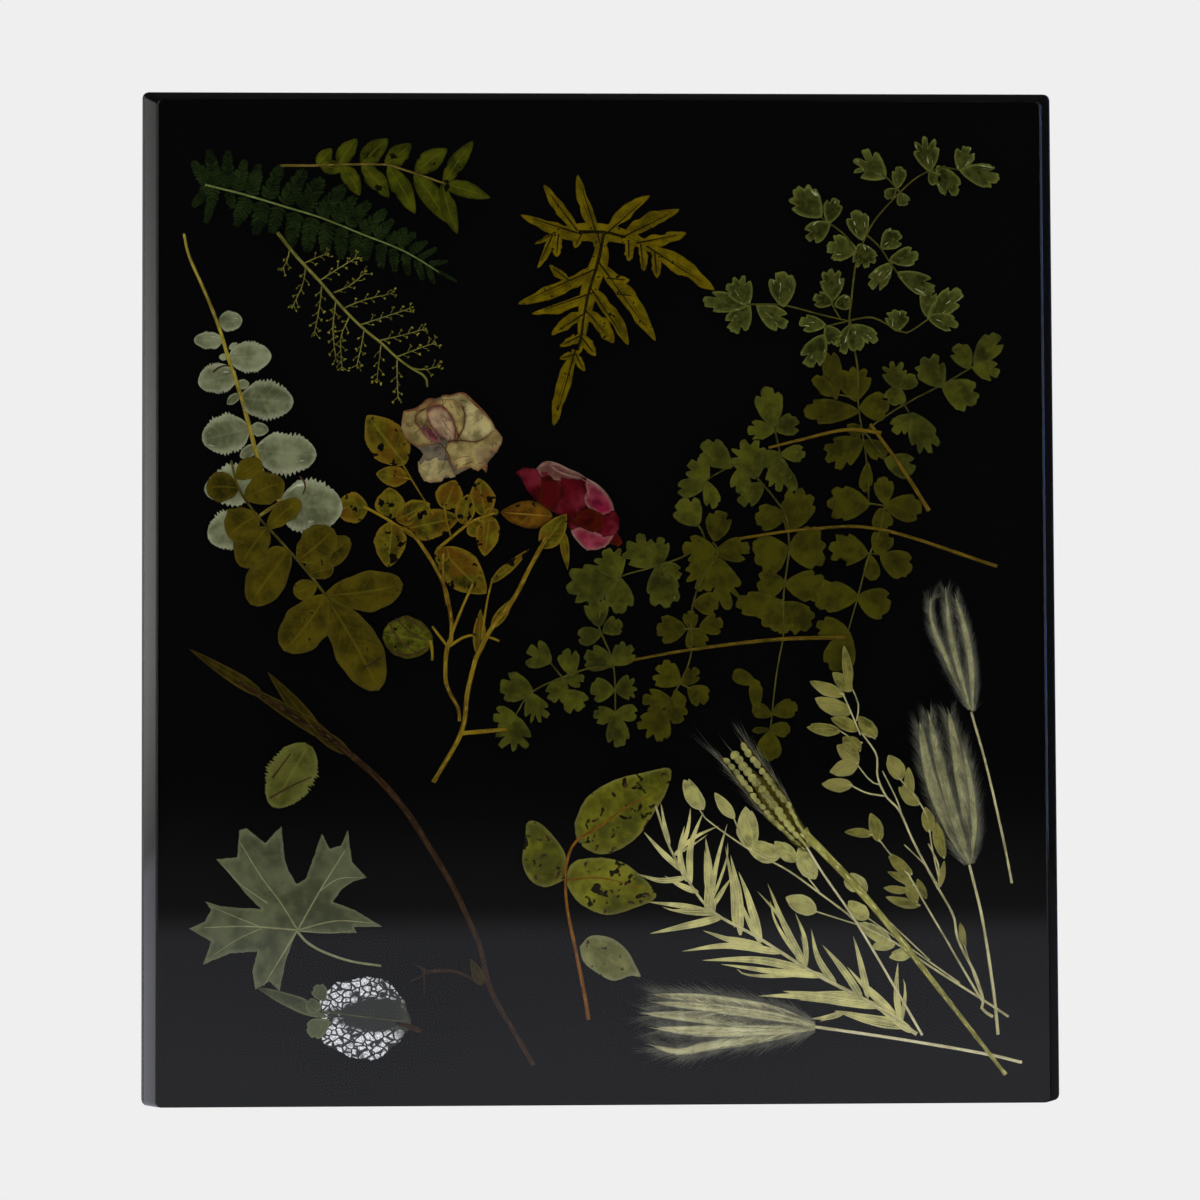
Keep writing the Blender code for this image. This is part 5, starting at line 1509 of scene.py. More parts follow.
def all_plants() -> list[Plant]:
    """Every plant, from the upper left to the lower right."""
    rose = Cut(teeth=0.1, teeth_count=9, fold=0.3, ripple=0.3, rows=34)
    return [
        FernFrond(
            "fern_frond", "fern_green", (FERN, FERN_RIB),
            stalks="2.3 1.4 206 185 246 195 286 207 322 218 362 234 404 251 439 272",
            rows="""
    209 186 195 206 10 216 188 209 222 11 229 191 232 207 10 249 197 238 225 15 264 201 256 232 16
    280 206 272 231 15 296 211 290 246 16 312 216 309 250 16 327 221 326 253 16 342 226 340 257 15
    356 232 354 258 14 368 237 367 259 12 381 242 382 267 11 393 247 395 270 10 405 252 409 274 9
    416 258 422 279 8 427 264 435 283 6 209 185 196 162 14 217 187 211 151 14 227 189 228 153 14
    238 192 244 162 14 252 196 259 166 14 267 200 279 167 16 284 205 305 172 18 301 210 321 180 20
    319 216 345 188 17 333 221 356 199 15 346 226 369 204 15 361 232 384 211 15 375 238 393 221 12
    387 243 405 228 11 398 247 415 234 10 409 252 426 241 9 418 259 436 249 7 429 264 446 259 6
    438 271 456 282 4""",
        ),
        LeafyPlant(
            "leafy_sprig", "leaf_green", (VETCH, VETCH_STEM),
            stalks="2.6 1.8 281 166 318 166 340 165 384 165 400 169 416 174 445 184",
            rows="""
    317 165 332 149 15 320 165 345 170 15 338 166 357 139 18 361 165 388 139 21 385 165 411 144 20
    415 173 447 149 21 443 184 473 141 17 443 184 490 198 17 342 165 360 196 17 362 165 389 198 19
    388 166 415 214 20 414 173 447 223 21 442 183 457 234 17""",
            cut=Cut(bend=0.03, rows=26, bites=0.25),
        ),
        SeedPanicle(
            "seed_panicle", "leaf_green", (SEED, SEED_STEM),
            branches="""
    278 233 291 250 306 267 321 283 337 302 353 319 367 332 382 344 398 359 412 369 425 377 427 387 /
    304 264 315 259 325 255 / 320 281 340 268 355 259 / 334 293 350 286 364 274 / 345 308 365 300 391 294
    / 361 325 385 317 409 309 / 378 341 400 336 422 330 / 397 357 415 350 432 344 / 411 368 424 370
    436 367 / 290 250 288 260 284 268 / 306 268 303 285 294 305 / 322 286 320 306 315 332 / 336 302
    333 330 336 359 / 350 316 341 338 342 367 / 364 331 361 348 357 365 / 381 345 379 362 377 379 /
    397 360 397 380 398 397""",
        ),
        LeafyPlant(
            "burnet_leaf", "silver_green", (BURNET, YELLOW_STEM, CREASE_AND_SHADE),
            stalks="""
    2.6 5.2 185 234 190 256 204 288 219 325 230 361 242 397 259 460 270 488 284 504 / 4 3.2 283 501
    268 510 252 521""",
            rows="""
    228 357 220 357 7 230 349 238 343 6 238 384 250 384 10 240 394 228 404 9 251 428 269 430 14
    257 446 241 457 12 220 322 243 320 21 223 341 195 340 18 230 357 272 356 32 237 374 199 383 31
    242 398 294 402 40 249 428 203 440 42 257 450 317 455 44 269 479 205 490 42 250 522 209 538 40
    280 504 343 508 56""",
            stalk_level=0.4,
            cut=Cut(Form.ROUND, teeth=0.3, teeth_count=7, ripple=0.25, rows=42, spans=10, wobble=0.16),
            marks="300 476 306 484 303 494 / 214 372 222 366 231 366",
        ),
        LeafyPlant(
            "olive_leaf_sprig", "olive", (OLIVE, OLIVE_STEM, CREASE_AND_SHADE),
            stalks="2.2 3 232 460 239 487 255 512 273 532 291 552 309 573 330 600",
            rows="""
    237 478 262 461 22 240 488 207 487 30 245 498 285 482 32 259 514 229 536 38 268 527 241 566 34
    290 551 251 604 38 268 528 301 500 22 298 560 334 529 38 306 569 350 538 28 308 574 334 568 18
    317 584 294 593 22 286 548 266 560 18 326 595 403 584 40 326 595 284 650 45 328 599 379 690 47
    327 597 324 620 8""",
            stalk_level=0.3, cut=Cut(Form.PADDLE, bend=0.04, rows=26, wobble=0.16),
            marks="364 667 374 661 384 656",
        ),
        GoldenFern(
            "golden_fern", "ochre", (GOLD, GOLD_RIB),
            rows="""
    596 234 577 175 14 577 231 543 185 14 580 234 520 215 13 555 232 534 244 6 552 235 537 268 9
    558 234 556 257 13 582 232 574 248 11 597 232 600 248 24 604 235 649 195 14 620 238 679 209 17
    636 243 686 233 14 646 246 714 290 20 628 240 628 261 12 640 244 643 271 10 654 252 656 278 12
    597 268 517 304 17 568 280 549 265 10 594 292 531 314 12 586 312 551 335 14 583 334 559 346 10
    598 262 655 341 19 606 278 629 280 11 616 294 634 296 10 590 288 628 345 16 585 310 613 343 18
    580 336 595 356 13 575 350 553 426 17 575 354 584 371 9 574 354 559 359 8""",
            webs="""
    556 234 578 232 603 232 637 241 668 260 / 600 240 600 257 590 285 583 318 580 348 573 358""",
            ribs="""
    578 232 603 232 625 237 / 603 234 600 250 595 270 588 293 583 318 581 335 577 350""",
        ),
        LeafyPlant(
            "cream_rose_stem", "ochre", (ROSE_LEAF, ROSE_STEM),
            stalks="""
    3.4 4.2 400 527 416 538 442 581 451 621 450 645 / 5 3.2 450 640 446 652 446 684 458 708 459 721 /
    3 2.2 449 648 440 637 432 626 / 3 2.2 449 646 466 636 485 636 499 641 / 3 2.4 452 632 462 607 473 583
    / 3.2 2.4 447 605 443 580 443 553""",
        ),
        LeafyPlant(
            "rose_spray_left", "olive", (ROSE_LEAF, ROSE_STEM),
            stalks="""
    2.8 3.2 364 506 384 517 400 527 412 532 / 1.8 1.6 402 463 415 485 433 514 / 1.8 1.6 404 477 411 479""",
            rows="""
    368 507 334 508 31 392 521 388 567 32 391 518 389 487 30 396 520 430 503 24 403 529 459 517 31
    408 478 376 473 21 405 464 367 415 40""",
            cut=rose,
        ),
        LeafyPlant(
            "rose_spray_right", "olive", (ROSE_LEAF, ROSE_STEM),
            stalks="3.4 2.4 437 549 455 534 472 521 494 513 / 2.2 2.2 444 505 446 520 451 537",
            rows="""
    444 509 455 480 28 462 524 468 494 20 485 516 478 478 26 490 514 484 556 24 470 521 482 536 20
    484 517 499 511 14""",
            cut=rose,
        ),
        LeafyPlant(
            "folded_rose_leaf", "olive", (ROSE_LEAF, ROSE_STEM), rows="441 548 486 593 38 444 546 438 564 15",
            cut=Cut(bend=0.05, fold=0.5, ripple=0.5, rows=34, spans=10),
        ),
        LeafyPlant(
            "rolled_rose_leaf", "olive", (ROLLED, ROSE_STEM, CREASE_AND_SHADE),
            stalks="3.4 2.4 430 640 432 650 432 660", rows="383 633 433 642 42",
            cut=Cut(Form.ROUND, fold=0.5, ripple=0.5, rows=34, spans=12),
            marks="""
    389 622 398 638 412 650 / 396 618 410 632 426 640 / 390 650 408 655 426 648 / 404 617 414 622 424 630""",
        ),
        PatchPlant(
            "red_rose_stem", "olive", (ROSE_LEAF, ROSE_STEM),
            stalks="""
    4.2 4.8 546 537 528 570 513 599 490 630 475 659 / 4.8 4.4 475 659 467 692 461 732 433 782 / 4.6 3.6
    461 733 485 731 507 729 / 2.2 2 481 640 486 605 492 578""",
            rows="""
    541 548 566 514 24 562 530 567 570 9 491 628 513 598 11 478 655 480 609 13 490 583 529 549 10""",
            cut=Cut(Form.LANCE, fold=0.4, rows=16, spans=6),
        ),
        LeafyPlant("red_rose_leaf", "olive", (ROSE_BROWN, ROSE_STEM), rows="552 516 500 512 28", cut=rose),
        RoseBloom(
            "cream_rose_bloom",
            "cream_petal",
            (CREAM, CREAM_PALE, CREAM, CREAM_GREY, CREAM_STREAK, CREAM_BUD, CREAM_RIM, CREASE_AND_SHADE),
            petals="""
    0.95 3 450 442 450 398 404 412 416 409 430 399 444 396.5 459 393.5 474 404 493 426 500 438 497 451
    489 460 484 468 470 467.5 457 474 448 477 433 481 422 477 419 462 424 452 414 445.5 404 433 401.5 426
    / 0.55 1 456.6 440.5 482.6 407.6 463.1 406.8 464.7 412.5 463.9 425.5 456.6 440.5 476.1 442.1
    485.8 437.2 495.3 429.3 490.7 420.7 484.2 412.5 476.1 404.4 464.7 394.3 459 392.2 454.1 395.4
    441.1 395.8 441.9 400.3 453.3 401.1 / 0.72 0 446.8 443.4 492.3 453.2 447.6 441.5 461.4 439.5
    476.1 441.1 485.8 436.1 495.6 428.5 502.1 436.9 500.5 445.1 495.6 453.2 491.5 451.6 490.7 456.4
    485.8 461.3 485.8 472.7 481.8 467.8 477.7 471.1 471.2 467.8 464.7 467 456.6 470.3 450.1 461.3
    444.4 449.9 / 0.8 0 437 443.4 404.5 412.5 403.2 410.9 414.3 408.9 421.6 404.4 428.1 398.2 433.8 401.1
    425.7 409.3 417.5 414.2 415.1 422.6 420 427.2 425.7 435.3 433.8 440.5 438.7 442.6 437 445.4
    425.7 445.7 415.9 445.7 409.4 442.1 402.9 433.7 400.4 428.8 / 0.78 3 445.2 445.1 422.4 456.4 417.5 447
    433.8 443.4 445.2 444.2 448.4 451.6 438.7 455.8 428.1 460 422.4 453.2 / 0.86 1 444.4 449.9 432.2 482.5
    418.3 471.1 417.5 461.3 427.3 459.4 437 453.5 443.9 450.9 447.6 461.3 452 471.1 455.3 475.6
    450.1 477.9 446 474.6 441.9 480.8 432.2 482.5 424 480.8 420.8 476 / 0.42 0 455.3 441.1 446.8 397.9
    427.6 409.3 433.8 404.1 441.9 406 451.7 416.6 455.6 428.8 455.3 441.1 463.1 428.8 465 414.2 462.4 406
    453.3 399.2 441.1 399.2 432.2 401.1 / 0.5 0 440.3 442.6 417.5 410.9 415.9 410.9 425.7 408 428.6 412.5
    427.6 420.7 433.8 428.8 438.7 436.1 441.1 442.6 433.8 440.5 425.7 435 419.5 427.2 414.9 421.5 / 0.3 4
    440.9 442.4 418.5 425.2 418.5 425.2 425.7 426.2 433.8 430.1 437.7 436.1 441.1 442.4 433.8 442.4
    427 437.2 422.1 430.7 / 0.16 5 450.1 441.5 433.8 406.8 426.6 411.9 432.2 407.3 440.3 406.3 448.1 412.2
    453 420.7 455.3 430.7 454.3 439.5 447.6 441.5 439.5 435 432.5 428.1 427.6 420""",
            rims="""
    2.6 0.4 459 392.7 464.7 394.3 473.6 402.8 483.2 411.9 491 420.7 495.3 429.3 / 2 0.7 403.2 411.2
    414.3 409.3 421.6 404.7 428.1 398.5 439.5 399.8 / 1.6 0.1 427.6 410.1 433.8 405.7 441.1 406
    448.8 413.3 453.3 422 455.6 432 / 2.4 0.45 441.1 395.8 450.1 395.9 456.6 393.3 459 392.7 / 2.2 0.6
    481.8 467.8 485.8 464.6 486.2 472.4""",
            folds="""
    447.6 441.8 461.4 440.3 476.1 442 485.8 436.9 492.7 430.4 / 424.8 408.9 417.5 413.5 414.6 417.7
    415.2 422.6 / 461.4 406.8 464.7 413.3 463.7 426.3 458.5 436.9 / 432.2 419.8 437 417.7 443.5 420.7
    445.5 426.3 / 440.3 443.8 446.8 451.6 450.1 461.3""",
            wrinkles=6,
        ),
        RoseBloom(
            "red_rose_bloom",
            "crimson_petal",
            (CRIMSON, CRIMSON_BACK, PINK_PETAL, PINK_BACK, PINK_RIM, CREASE_AND_SHADE),
            petals="""
    0.95 0 560 520 585 480 517 472 535 469 556 465 586 479 606 495 613 511 617 524 612 534 606 543 588 549
    577 540 568 526 565 518 549 510 539 503 526 488 / 0.8 0 539.5 502 518.4 471.1 515.1 471.9 523.2 467.5
    535.4 468.6 541.9 477.6 543.6 487.3 539.5 503.6 531.4 496.3 524.9 487.3 520 477.6 / 0.6 1 550.9 510.9
    547.6 476 540.3 476.9 549.3 475.1 558.2 484.1 561.5 497.1 556.6 510.9 549.3 510.1 537.1 502.3
    540.3 490.6 / 0.86 3 560.6 493.8 560.6 462.9 535.4 468.6 545.2 461.8 555.8 463.3 568.8 469 580.2 473.8
    585.8 478.2 588.3 484.1 580.2 484.1 560.6 480.8 547.6 477.6 539.5 477.6 / 0.4 0 560.6 517.4 572 477.6
    559.8 477.3 580.2 480.5 586 493.8 584.1 505.2 577.6 513.4 565.5 517.9 554.9 512.1 559 500.3
    561.9 490.6 / 0.7 2 576.9 523.1 601.3 490.6 585 479.5 596.4 485.7 604.5 492.5 610.7 501.6 614 511.1
    602.9 516.3 589.3 509.8 583.7 501.2 586.3 492.2 / 0.5 1 570.4 524.7 601.3 516.6 570.4 521.8
    578.5 512.5 589.3 508.2 603.7 514.7 602.6 526.4 592.4 532.5 580.2 527.7 / 0.62 0 576.9 523.1
    617.6 523.1 602.1 515.3 613 510.1 618.9 518.2 618.2 529.6 613.3 535.3 602.3 537.1 599 526.4 / 0.76 2
    575.3 526.4 593.2 550.8 570.4 530.4 580.2 526.4 592.4 531.2 603.7 535.8 614 534.2 607.5 544.3
    604.5 547.5 593.5 549.9 586.7 550.8 578.5 543.4 572 534.5 / 0.82 1 611.1 534.5 620.8 545.9 611.9 534.2
    616.6 531.6 622.1 542.6 617.6 547 608.6 543.1""",
            rims="""
    3 0.55 535.9 469 545.2 462.6 555.8 464.2 568.8 469.8 580.2 474.3 585.4 478.2 / 1.6 0.25 548.9 464.6
    557.4 471.1 567.1 475.3 578.5 477.9 584.4 481.2 587 486 / 2.2 0.5 585.4 478.2 596.4 485.2 604.5 492.5
    610.7 501.6 613.7 510.1 / 1.6 0.5 570.4 529.9 573.6 536.1 579.5 543.3 586.7 550.4 / 1.8 0.3
    585.4 493.8 583.7 502 577.6 508.5 576.3 513.4""",
        ),
        LobedSpray(
            "lobed_spray_top", "leaf_green", (LOBED_PALE, LOBED_STEM),
            stalks="""
    850 330 849 318 851 300 856 262 866 235 880 213 915 178 945 165 / 900 192 890 180 882 174 / 940 166
    960 169 / 855 250 845 235 828 222 817 214 / 866 234 880 247 891 264 900 276""",
            rows="""
    930 171 924 136 27 930 170 937 184 13 937 165 956 194 24 959 170 968 146 21 960 169 999 178 24
    886 177 856 156 32 897 188 900 166 15 896 188 885 197 12 900 192 905 205 14 821 217 794 189 33
    828 223 835 198 19 830 222 806 238 22 857 250 827 246 27 862 240 855 210 23 859 243 868 267 26
    881 248 899 232 22 889 260 918 254 20 892 262 871 288 20 897 272 934 290 22""",
            depth=0.34, frill=0.7,
        ),
        LobedSpray(
            "lobed_spray_arms", "leaf_green", (LOBED_PALE, LOBED_STEM),
            stalks="""
    746 304 770 304 785 305 820 314 850 321 / 850 320 872 317 895 328 908 332 932 316 / 832 296 832 304
    840 318 / 850 320 826 326 / 850 320 852 330 / 826 325 823 336""",
            rows="""
    750 304 703 300 22 748 305 733 277 28 749 303 731 331 26 756 304 786 326 24 783 307 781 271 28
    832 301 832 268 25 833 303 813 297 17 834 305 851 300 16 826 325 799 322 18 825 325 838 343 18
    824 334 807 366 26 850 324 843 353 20 851 324 858 351 18 853 324 877 341 16 897 331 897 309 25
    928 318 961 290 24 927 316 958 325 18 926 316 930 288 18""",
            depth=0.3, frill=0.5,
        ),
        LobedSpray(
            "lobed_spray_middle", "leaf_green", (LOBED_BROWN, LOBED_STEM),
            stalks="""
    851 336 855 352 858 372 858 400 862 430 866 455 868 480 869 505 / 858 398 838 394 / 859 408 868 407""",
            rows="""
    836 400 830 351 20 834 396 813 377 20 856 401 853 366 36 860 411 804 411 26 859 408 889 405 30
    864 440 826 460 34 863 440 886 456 20 860 425 850 434 18 868 462 865 492 14""",
            depth=0.2,
        ),
        LobedSpray(
            "lobed_spray_right", "leaf_green", (LOBED, LOBED_STEM),
            stalks="""
    862 436 874 424 905 404 945 383 974 366 / 905 405 911 416 / 899 386 906 404 / 865 432 884 458 890 466""",
            rows="""
    943 387 923 357 32 942 384 977 401 33 970 369 957 344 22 974 364 1000 335 25 972 367 1000 372 21
    898 389 892 361 26 899 388 917 377 16 898 385 893 405 23 912 414 893 432 20 911 412 932 453 30
    884 459 915 470 26""",
            depth=0.28, frill=0.4,
        ),
        LobedSpray(
            "lobed_spray_left", "leaf_green", (LOBED, LOBED_STEM),
            stalks="""
    757 478 774 498 786 518 789 550 / 774 428 778 446 780 462 770 484 / 758 479 740 464 712 476 704 484 /
    760 480 748 494""",
            rows="""
    773 427 766 387 29 775 430 747 430 21 774 430 798 421 23 780 454 805 453 18 782 454 760 464 22
    756 479 743 440 38 731 468 702 443 28 742 466 739 492 22 764 484 738 502 24 782 458 776 491 27
    786 466 794 492 12 708 480 690 461 26 708 482 677 491 20 706 481 714 508 18""",
            depth=0.26, frill=0.3,
        ),
        LobedSpray(
            "lobed_spray_centre", "leaf_green", (LOBED_BROWN, LOBED_STEM),
            stalks="""
    788 530 789 550 785 580 783 604 783 636 776 676 770 732 / 786 530 782 512 / 783 604 776 602""",
            rows="""
    786 516 755 518 28 788 532 804 489 36 787 550 826 546 46 788 547 754 560 42 785 582 757 586 30
    784 584 826 588 34 784 604 736 604 26 784 600 764 627 34 783 602 782 634 24 784 602 808 630 34
    770 731 768 761 26 770 730 752 731 7 769 728 790 731 16 772 716 752 708 16 771 714 797 706 20
    756 712 755 680 14 756 684 732 673 16""",
            depth=0.16, frill=0.3,
        ),
        LobedSpray(
            "lobed_spray_low_right", "leaf_green", (LOBED_BROWN, LOBED_STEM),
            stalks="885 503 880 530 869 556 858 596 848 632 / 866 503 885 506 / 862 553 882 555",
            rows="""
    870 504 827 503 37 885 505 883 477 21 884 506 922 510 29 880 508 884 530 22 868 554 829 547 35
    876 555 886 532 24 870 555 873 581 17 880 555 911 571 30 859 597 813 596 34 857 597 890 608 33
    849 632 816 626 23 848 631 834 672 33""",
            depth=0.14,
        ),
        LobedSpray(
            "lobed_spray_west", "leaf_green", (LOBED, LOBED_STEM),
            stalks="""
    704 542 684 556 656 566 618 577 600 588 / 604 590 598 624 602 636 613 666 615 716 / 697 524 703 534
    704 543""",
            rows="""
    657 566 627 541 36 658 567 660 537 20 659 563 665 608 35 661 562 679 578 18 618 578 604 550 34
    617 576 620 613 29 619 578 566 588 42 599 627 593 598 26 602 633 577 638 20 602 632 621 622 20
    613 664 584 655 27 612 665 631 646 25 614 690 590 690 25 614 690 636 686 26 616 714 593 716 19
    614 713 637 713 18 615 713 618 747 24 698 526 680 500 31""",
            depth=0.24,
        ),
        LobedSpray(
            "lobed_spray_south_west", "leaf_green", (LOBED, LOBED_STEM),
            stalks="612 667 590 668 560 678 530 693 514 717 / 562 678 548 660 / 562 678 570 694",
            rows="""
    551 662 527 650 30 572 676 566 649 22 563 677 583 680 18 563 677 553 702 24 567 690 580 710 27
    533 692 500 684 31 529 693 541 722 26 516 716 493 718 24 515 715 512 751 37""",
            depth=0.36,
        ),
        LobedSpray(
            "lobed_spray_south", "leaf_green", (LOBED_BROWN, LOBED_STEM),
            stalks="""
    712 542 717 554 700 582 691 612 691 650 683 676 662 714 / 683 629 701 629 / 680 684 692 690""",
            rows="""
    714 542 720 511 26 714 553 749 548 26 716 551 682 548 28 715 555 694 589 36 714 556 728 609 38
    692 604 718 604 24 691 630 689 611 16 698 629 722 622 22 686 629 656 630 29 690 627 700 650 24
    680 684 655 668 30 680 685 698 670 17 671 700 642 701 24 674 690 682 708 14 687 688 707 701 23
    670 699 679 723 23 664 710 647 738 37""",
            depth=0.36,
        ),
        LeafyPlant(
            "straw_stem_1", "ochre", (OLIVE, STRAW_STEM), stalks="2.6 3.8 768 448 800 440 845 430 881 433",
        ),
        LeafyPlant("straw_stem_2", "ochre", (OLIVE, STRAW_STEM), stalks="3 4.4 870 424 903 470 929 511"),
        LeafyPlant(
            "straw_stem_3", "ochre", (OLIVE, STRAW_STEM), stalks="2.8 3.6 738 539 805 530 880 530 997 567",
        ),
        LeafyPlant(
            "straw_stem_4", "ochre", (OLIVE, STRAW_STEM), stalks="2.6 4.4 628 661 690 650 775 640 846 638",
        ),
        PatchPlant(
            "bud_stem", "bark_brown", (BUD, BARK),
            stalks="""
    4 6.6 240 682 270 700 296 717 322 731 353 756 / 6.6 5 352 755 380 780 407 812 431 850 451 883 467 917
    480 948 490 989 511 1027 533 1065 / 3.2 3.6 482 984 458 972 438 970 422 972 / 3 1.8 427 971 414 963 /
    2.6 1.6 427 972 410 981 / 2.2 1.4 424 973 424 994""",
            rows="""
    332 738 238 680 14 262 694 190 648 13 320 735 268 671 16 482 984 470 958 12 348 752 296 716 13""",
            stalk_level=0.5, cut=Cut(Form.BLADE, fold=0.5, rows=20, spans=6),
        ),
        LeafyPlant(
            "serrated_leaflet", "leaf_green", (SERRATED, CREASE_AND_SHADE), rows="309 744 273 806 48",
            cut=Cut(Form.ROUND, teeth=0.34, teeth_count=11, ripple=0.3, rows=60, spans=10),
            marks="271 797 290 786 312 776 / 273 777 281 766 291 753",
        ),
        PatchPlant(
            "maple_leaf", "silver_green", (MAPLE, MAPLE_VEIN),
            patches="""
    300 929 205 900 190 927 206 920 212 908 206 900 222 905 262 908 246 892 232 874 217 858 238 856
    240 829 247 827 266 842 282 825 285 858 289 870 297 883 306 878 314 856 322 833 330 848 341 845
    348 829 352 861 367 877 354 880 342 888 333 901 355 909 382 926 354 926 357 932 324 932 297 930
    286 960 280 990 270 980 256 988 253 970 258 950 230 952 204 963 212 940""",
            stalks="""
    2.6 2.4 296 928 306 940 322 950 350 960 381 965 / 2 0.8 298 929 250 925 205 926 / 1.8 0.8 298 929
    280 900 262 876 240 840 / 2 0.8 298 929 320 890 345 850 / 1.8 0.8 298 929 335 920 372 922 / 1.8 0.8
    298 929 282 955 264 984 / 1.2 0.6 268 902 240 882 224 864 / 1.2 0.6 318 892 338 878 362 877 / 1.1 0.5
    262 926 235 915 212 905 / 1.1 0.5 262 927 238 938 212 955 / 1 0.5 300 930 330 932 352 930""",
            stalk_level=0.12,
        ),
        SilveredLeaf(
            "silvered_leaf", "white_web", (SILVER, MAPLE, BARK),
            rows="330 1020 308 1032 20 325 1000 316 984 15 322 1006 306 1004 15",
        ),
        PatchPlant(
            "three_leaf_sprig", "leaf_green", (LEAF_A, ORANGE_STEM, CREASE_AND_SHADE),
            patches="""
    578 838 668 772 574 823 586 798 612 781 642 773 670 769 665 794 653 814 638 836 618 850 597 854
    578 842 / 566 882 656 892 564 880 572 863 590 858 615 860 636 872 656 896 632 909 605 915 580 904
    569 890 / 562 878 528 826 566 878 557 883 544 887 530 880 522 862 525 836 527 822 538 822 553 836
    565 855""",
            stalks="""
    2.4 4.2 600 826 576 841 567 859 565 880 567 910 576 954 585 1000 588 1020 / 2.2 0.8 600 826 625 808
    650 795 / 1.8 0.7 566 880 600 878 640 888""",
            flecks=14,
        ),
        PatchPlant(
            "fallen_leaf", "leaf_green", (LEAF_PALE, CREASE_AND_SHADE),
            patches="""
    582 944 638 976 579 947 590 936 610 938 626 950 635 966 640 977 630 976 613 981 598 974 583 962""",
            flecks=4,
        ),
        BarleyEar("barley_ear", "straw", (OLIVE, THICK_STALK, HAIR, STRAW)),
        LeafyPlant(
            "thin_grass_stem", "straw", (STRAW, WHITE_STALK),
            stalks="2.2 2.6 806 848 822 874 856 924 895 990 922 1037",
        ),
        FlatGrass(
            "flat_grass_left", "straw", (STRAW, STRAW_STALK),
            stalks="""
    2 3 700 806 704 818 747 849 787 871 819 894 850 917 / 3 3.4 848 916 864 928 898 946 930 968 985 1003
    1009 1019 / 2 2 733 818 744 846 / 2 2 796 864 819 893 / 2 2 814 912 864 928 / 2 2.4 866 918 905 946
    960 985 / 2 2 856 892 890 924 930 962""",
            rows="""
    703 810 683 780 18 734 819 714 793 13 751 851 745 807 22 780 857 747 848 22 797 862 774 842 16
    815 880 798 848 20 816 913 785 898 20 859 892 845 877 16 866 894 850 874 14 868 920 848 902 18
    892 946 856 924 16 895 946 871 949 12 914 952 889 959 13""",
        ),
        FlatGrass(
            "flat_grass_right", "straw", (STRAW_GREEN, STRAW_STALK),
            stalks="""
    2.6 3.4 862 735 876 756 877 778 886 798 899 812 914 845 938 890 / 3.4 4.2 937 888 953 917 958 942
    975 976 983 1002 982 1011 993 1019 / 2.2 2.2 842 694 850 712 860 736 / 2 2 852 690 858 706 856 722 /
    2.4 2.4 850 786 866 794 884 797 / 2 2 857 766 870 782 880 786 / 2 2 875 740 868 736 860 734 / 2 2
    882 772 896 800 902 818 / 2.2 2.2 898 778 924 812 932 850 940 888 / 2 2 878 840 892 858 908 876 / 2 2
    904 846 926 868 938 888 / 2.4 3 906 872 924 904 950 948 / 3 3.4 948 945 966 976 982 1003 / 2.4 2.4
    928 845 938 866 938 888 / 2 2 964 946 972 972 982 1000 / 2 2 840 732 852 740 862 744""",
            rows="""
    848 692 843 646 11 851 692 832 673 15 844 696 809 682 14 851 714 814 699 18 840 732 806 728 13
    858 731 830 719 14 876 738 858 717 16 860 752 842 738 16 858 764 836 746 18 858 764 829 773 17
    852 786 821 785 15 901 781 888 756 18 911 796 908 768 11 919 806 898 788 14 929 834 925 808 14
    944 860 934 822 12 872 836 844 833 10 879 843 870 814 15 912 876 888 857 12 916 888 887 873 10
    908 892 883 889 9 920 907 885 898 11 917 904 905 886 12 926 900 917 880 9 965 949 960 924 7
    939 889 944 862 7""",
        ),
        StrawSpray(
            "straw_spray", "straw", (STRAW_LEAF, STRAW_STALK),
            stalks="2.2 4.2 655 806 668 845 687 880 712 912 757 938 815 975 868 1003 917 1036",
            rows="""
    669 846 660 803 5 676 856 690 808 6 672 857 719 826 5 686 882 684 826 7 690 886 703 812 8
    682 872 643 832 7 686 878 636 874 7 698 893 664 876 7 710 904 727 824 6 706 912 705 838 10
    714 913 704 850 8 712 908 731 878 6 714 913 667 910 8 717 915 647 902 8 722 918 649 934 9
    734 928 725 846 6 740 936 730 855 10 760 944 738 872 10 762 946 702 931 8 780 954 681 952 9
    800 966 757 892 6 806 968 767 884 8 806 968 795 914 6 815 974 701 961 10 822 978 720 965 8
    826 978 763 974 7 836 986 811 930 8 862 1000 822 946 9 858 996 757 997 10 868 1000 853 937 8
    872 1004 782 992 11 880 1008 798 1001 12 896 1016 847 968 8 901 1025 898 964 8 908 1028 834 1012 14
    844 1014 811 1020 7 912 1034 872 1004 10""",
            cut=Cut(Form.BLADE, bend=0.04, rows=16, spans=4),
        ),
        Foxtail(
            "foxtail_top", "straw", (FLOSS, STRAW_STALK, HAIR, FLOSS_BAND),
            stalk="2.4 2.6 972 713 988 770 1004 840 1013 885",
            strands="""
    4.8 0.5 971 710 948 662 934 628 931 604 937 595 / 5.4 0.35 971 710 958 665 950 628 946 590 / 6.2 0.6
    973 712 972 668 965 628 956 597""",
            floss=110, floss_length=9.0, hairs=800, hair_length=19.0,
        ),
        Foxtail(
            "foxtail_right", "straw", (FLOSS, STRAW_STALK, HAIR, FLOSS_BAND),
            stalk="2.8 3.4 970 866 983 920 994 990 999 1037",
            strands="""
    11 0.5 969 865 950 830 930 775 920 722 / 9 0.35 970 865 956 822 940 765 929 714 / 11 0.6 971 865
    968 822 960 770 949 712 / 6 0.42 972 864 975 825 971 785 963 745""",
        ),
        Foxtail(
            "foxtail_low", "straw", (FLOSS_PALE, WHITE_STALK, HAIR, PALE_BAND),
            stalk="3 3.2 814 1028 900 1041 985 1056 1023 1065",
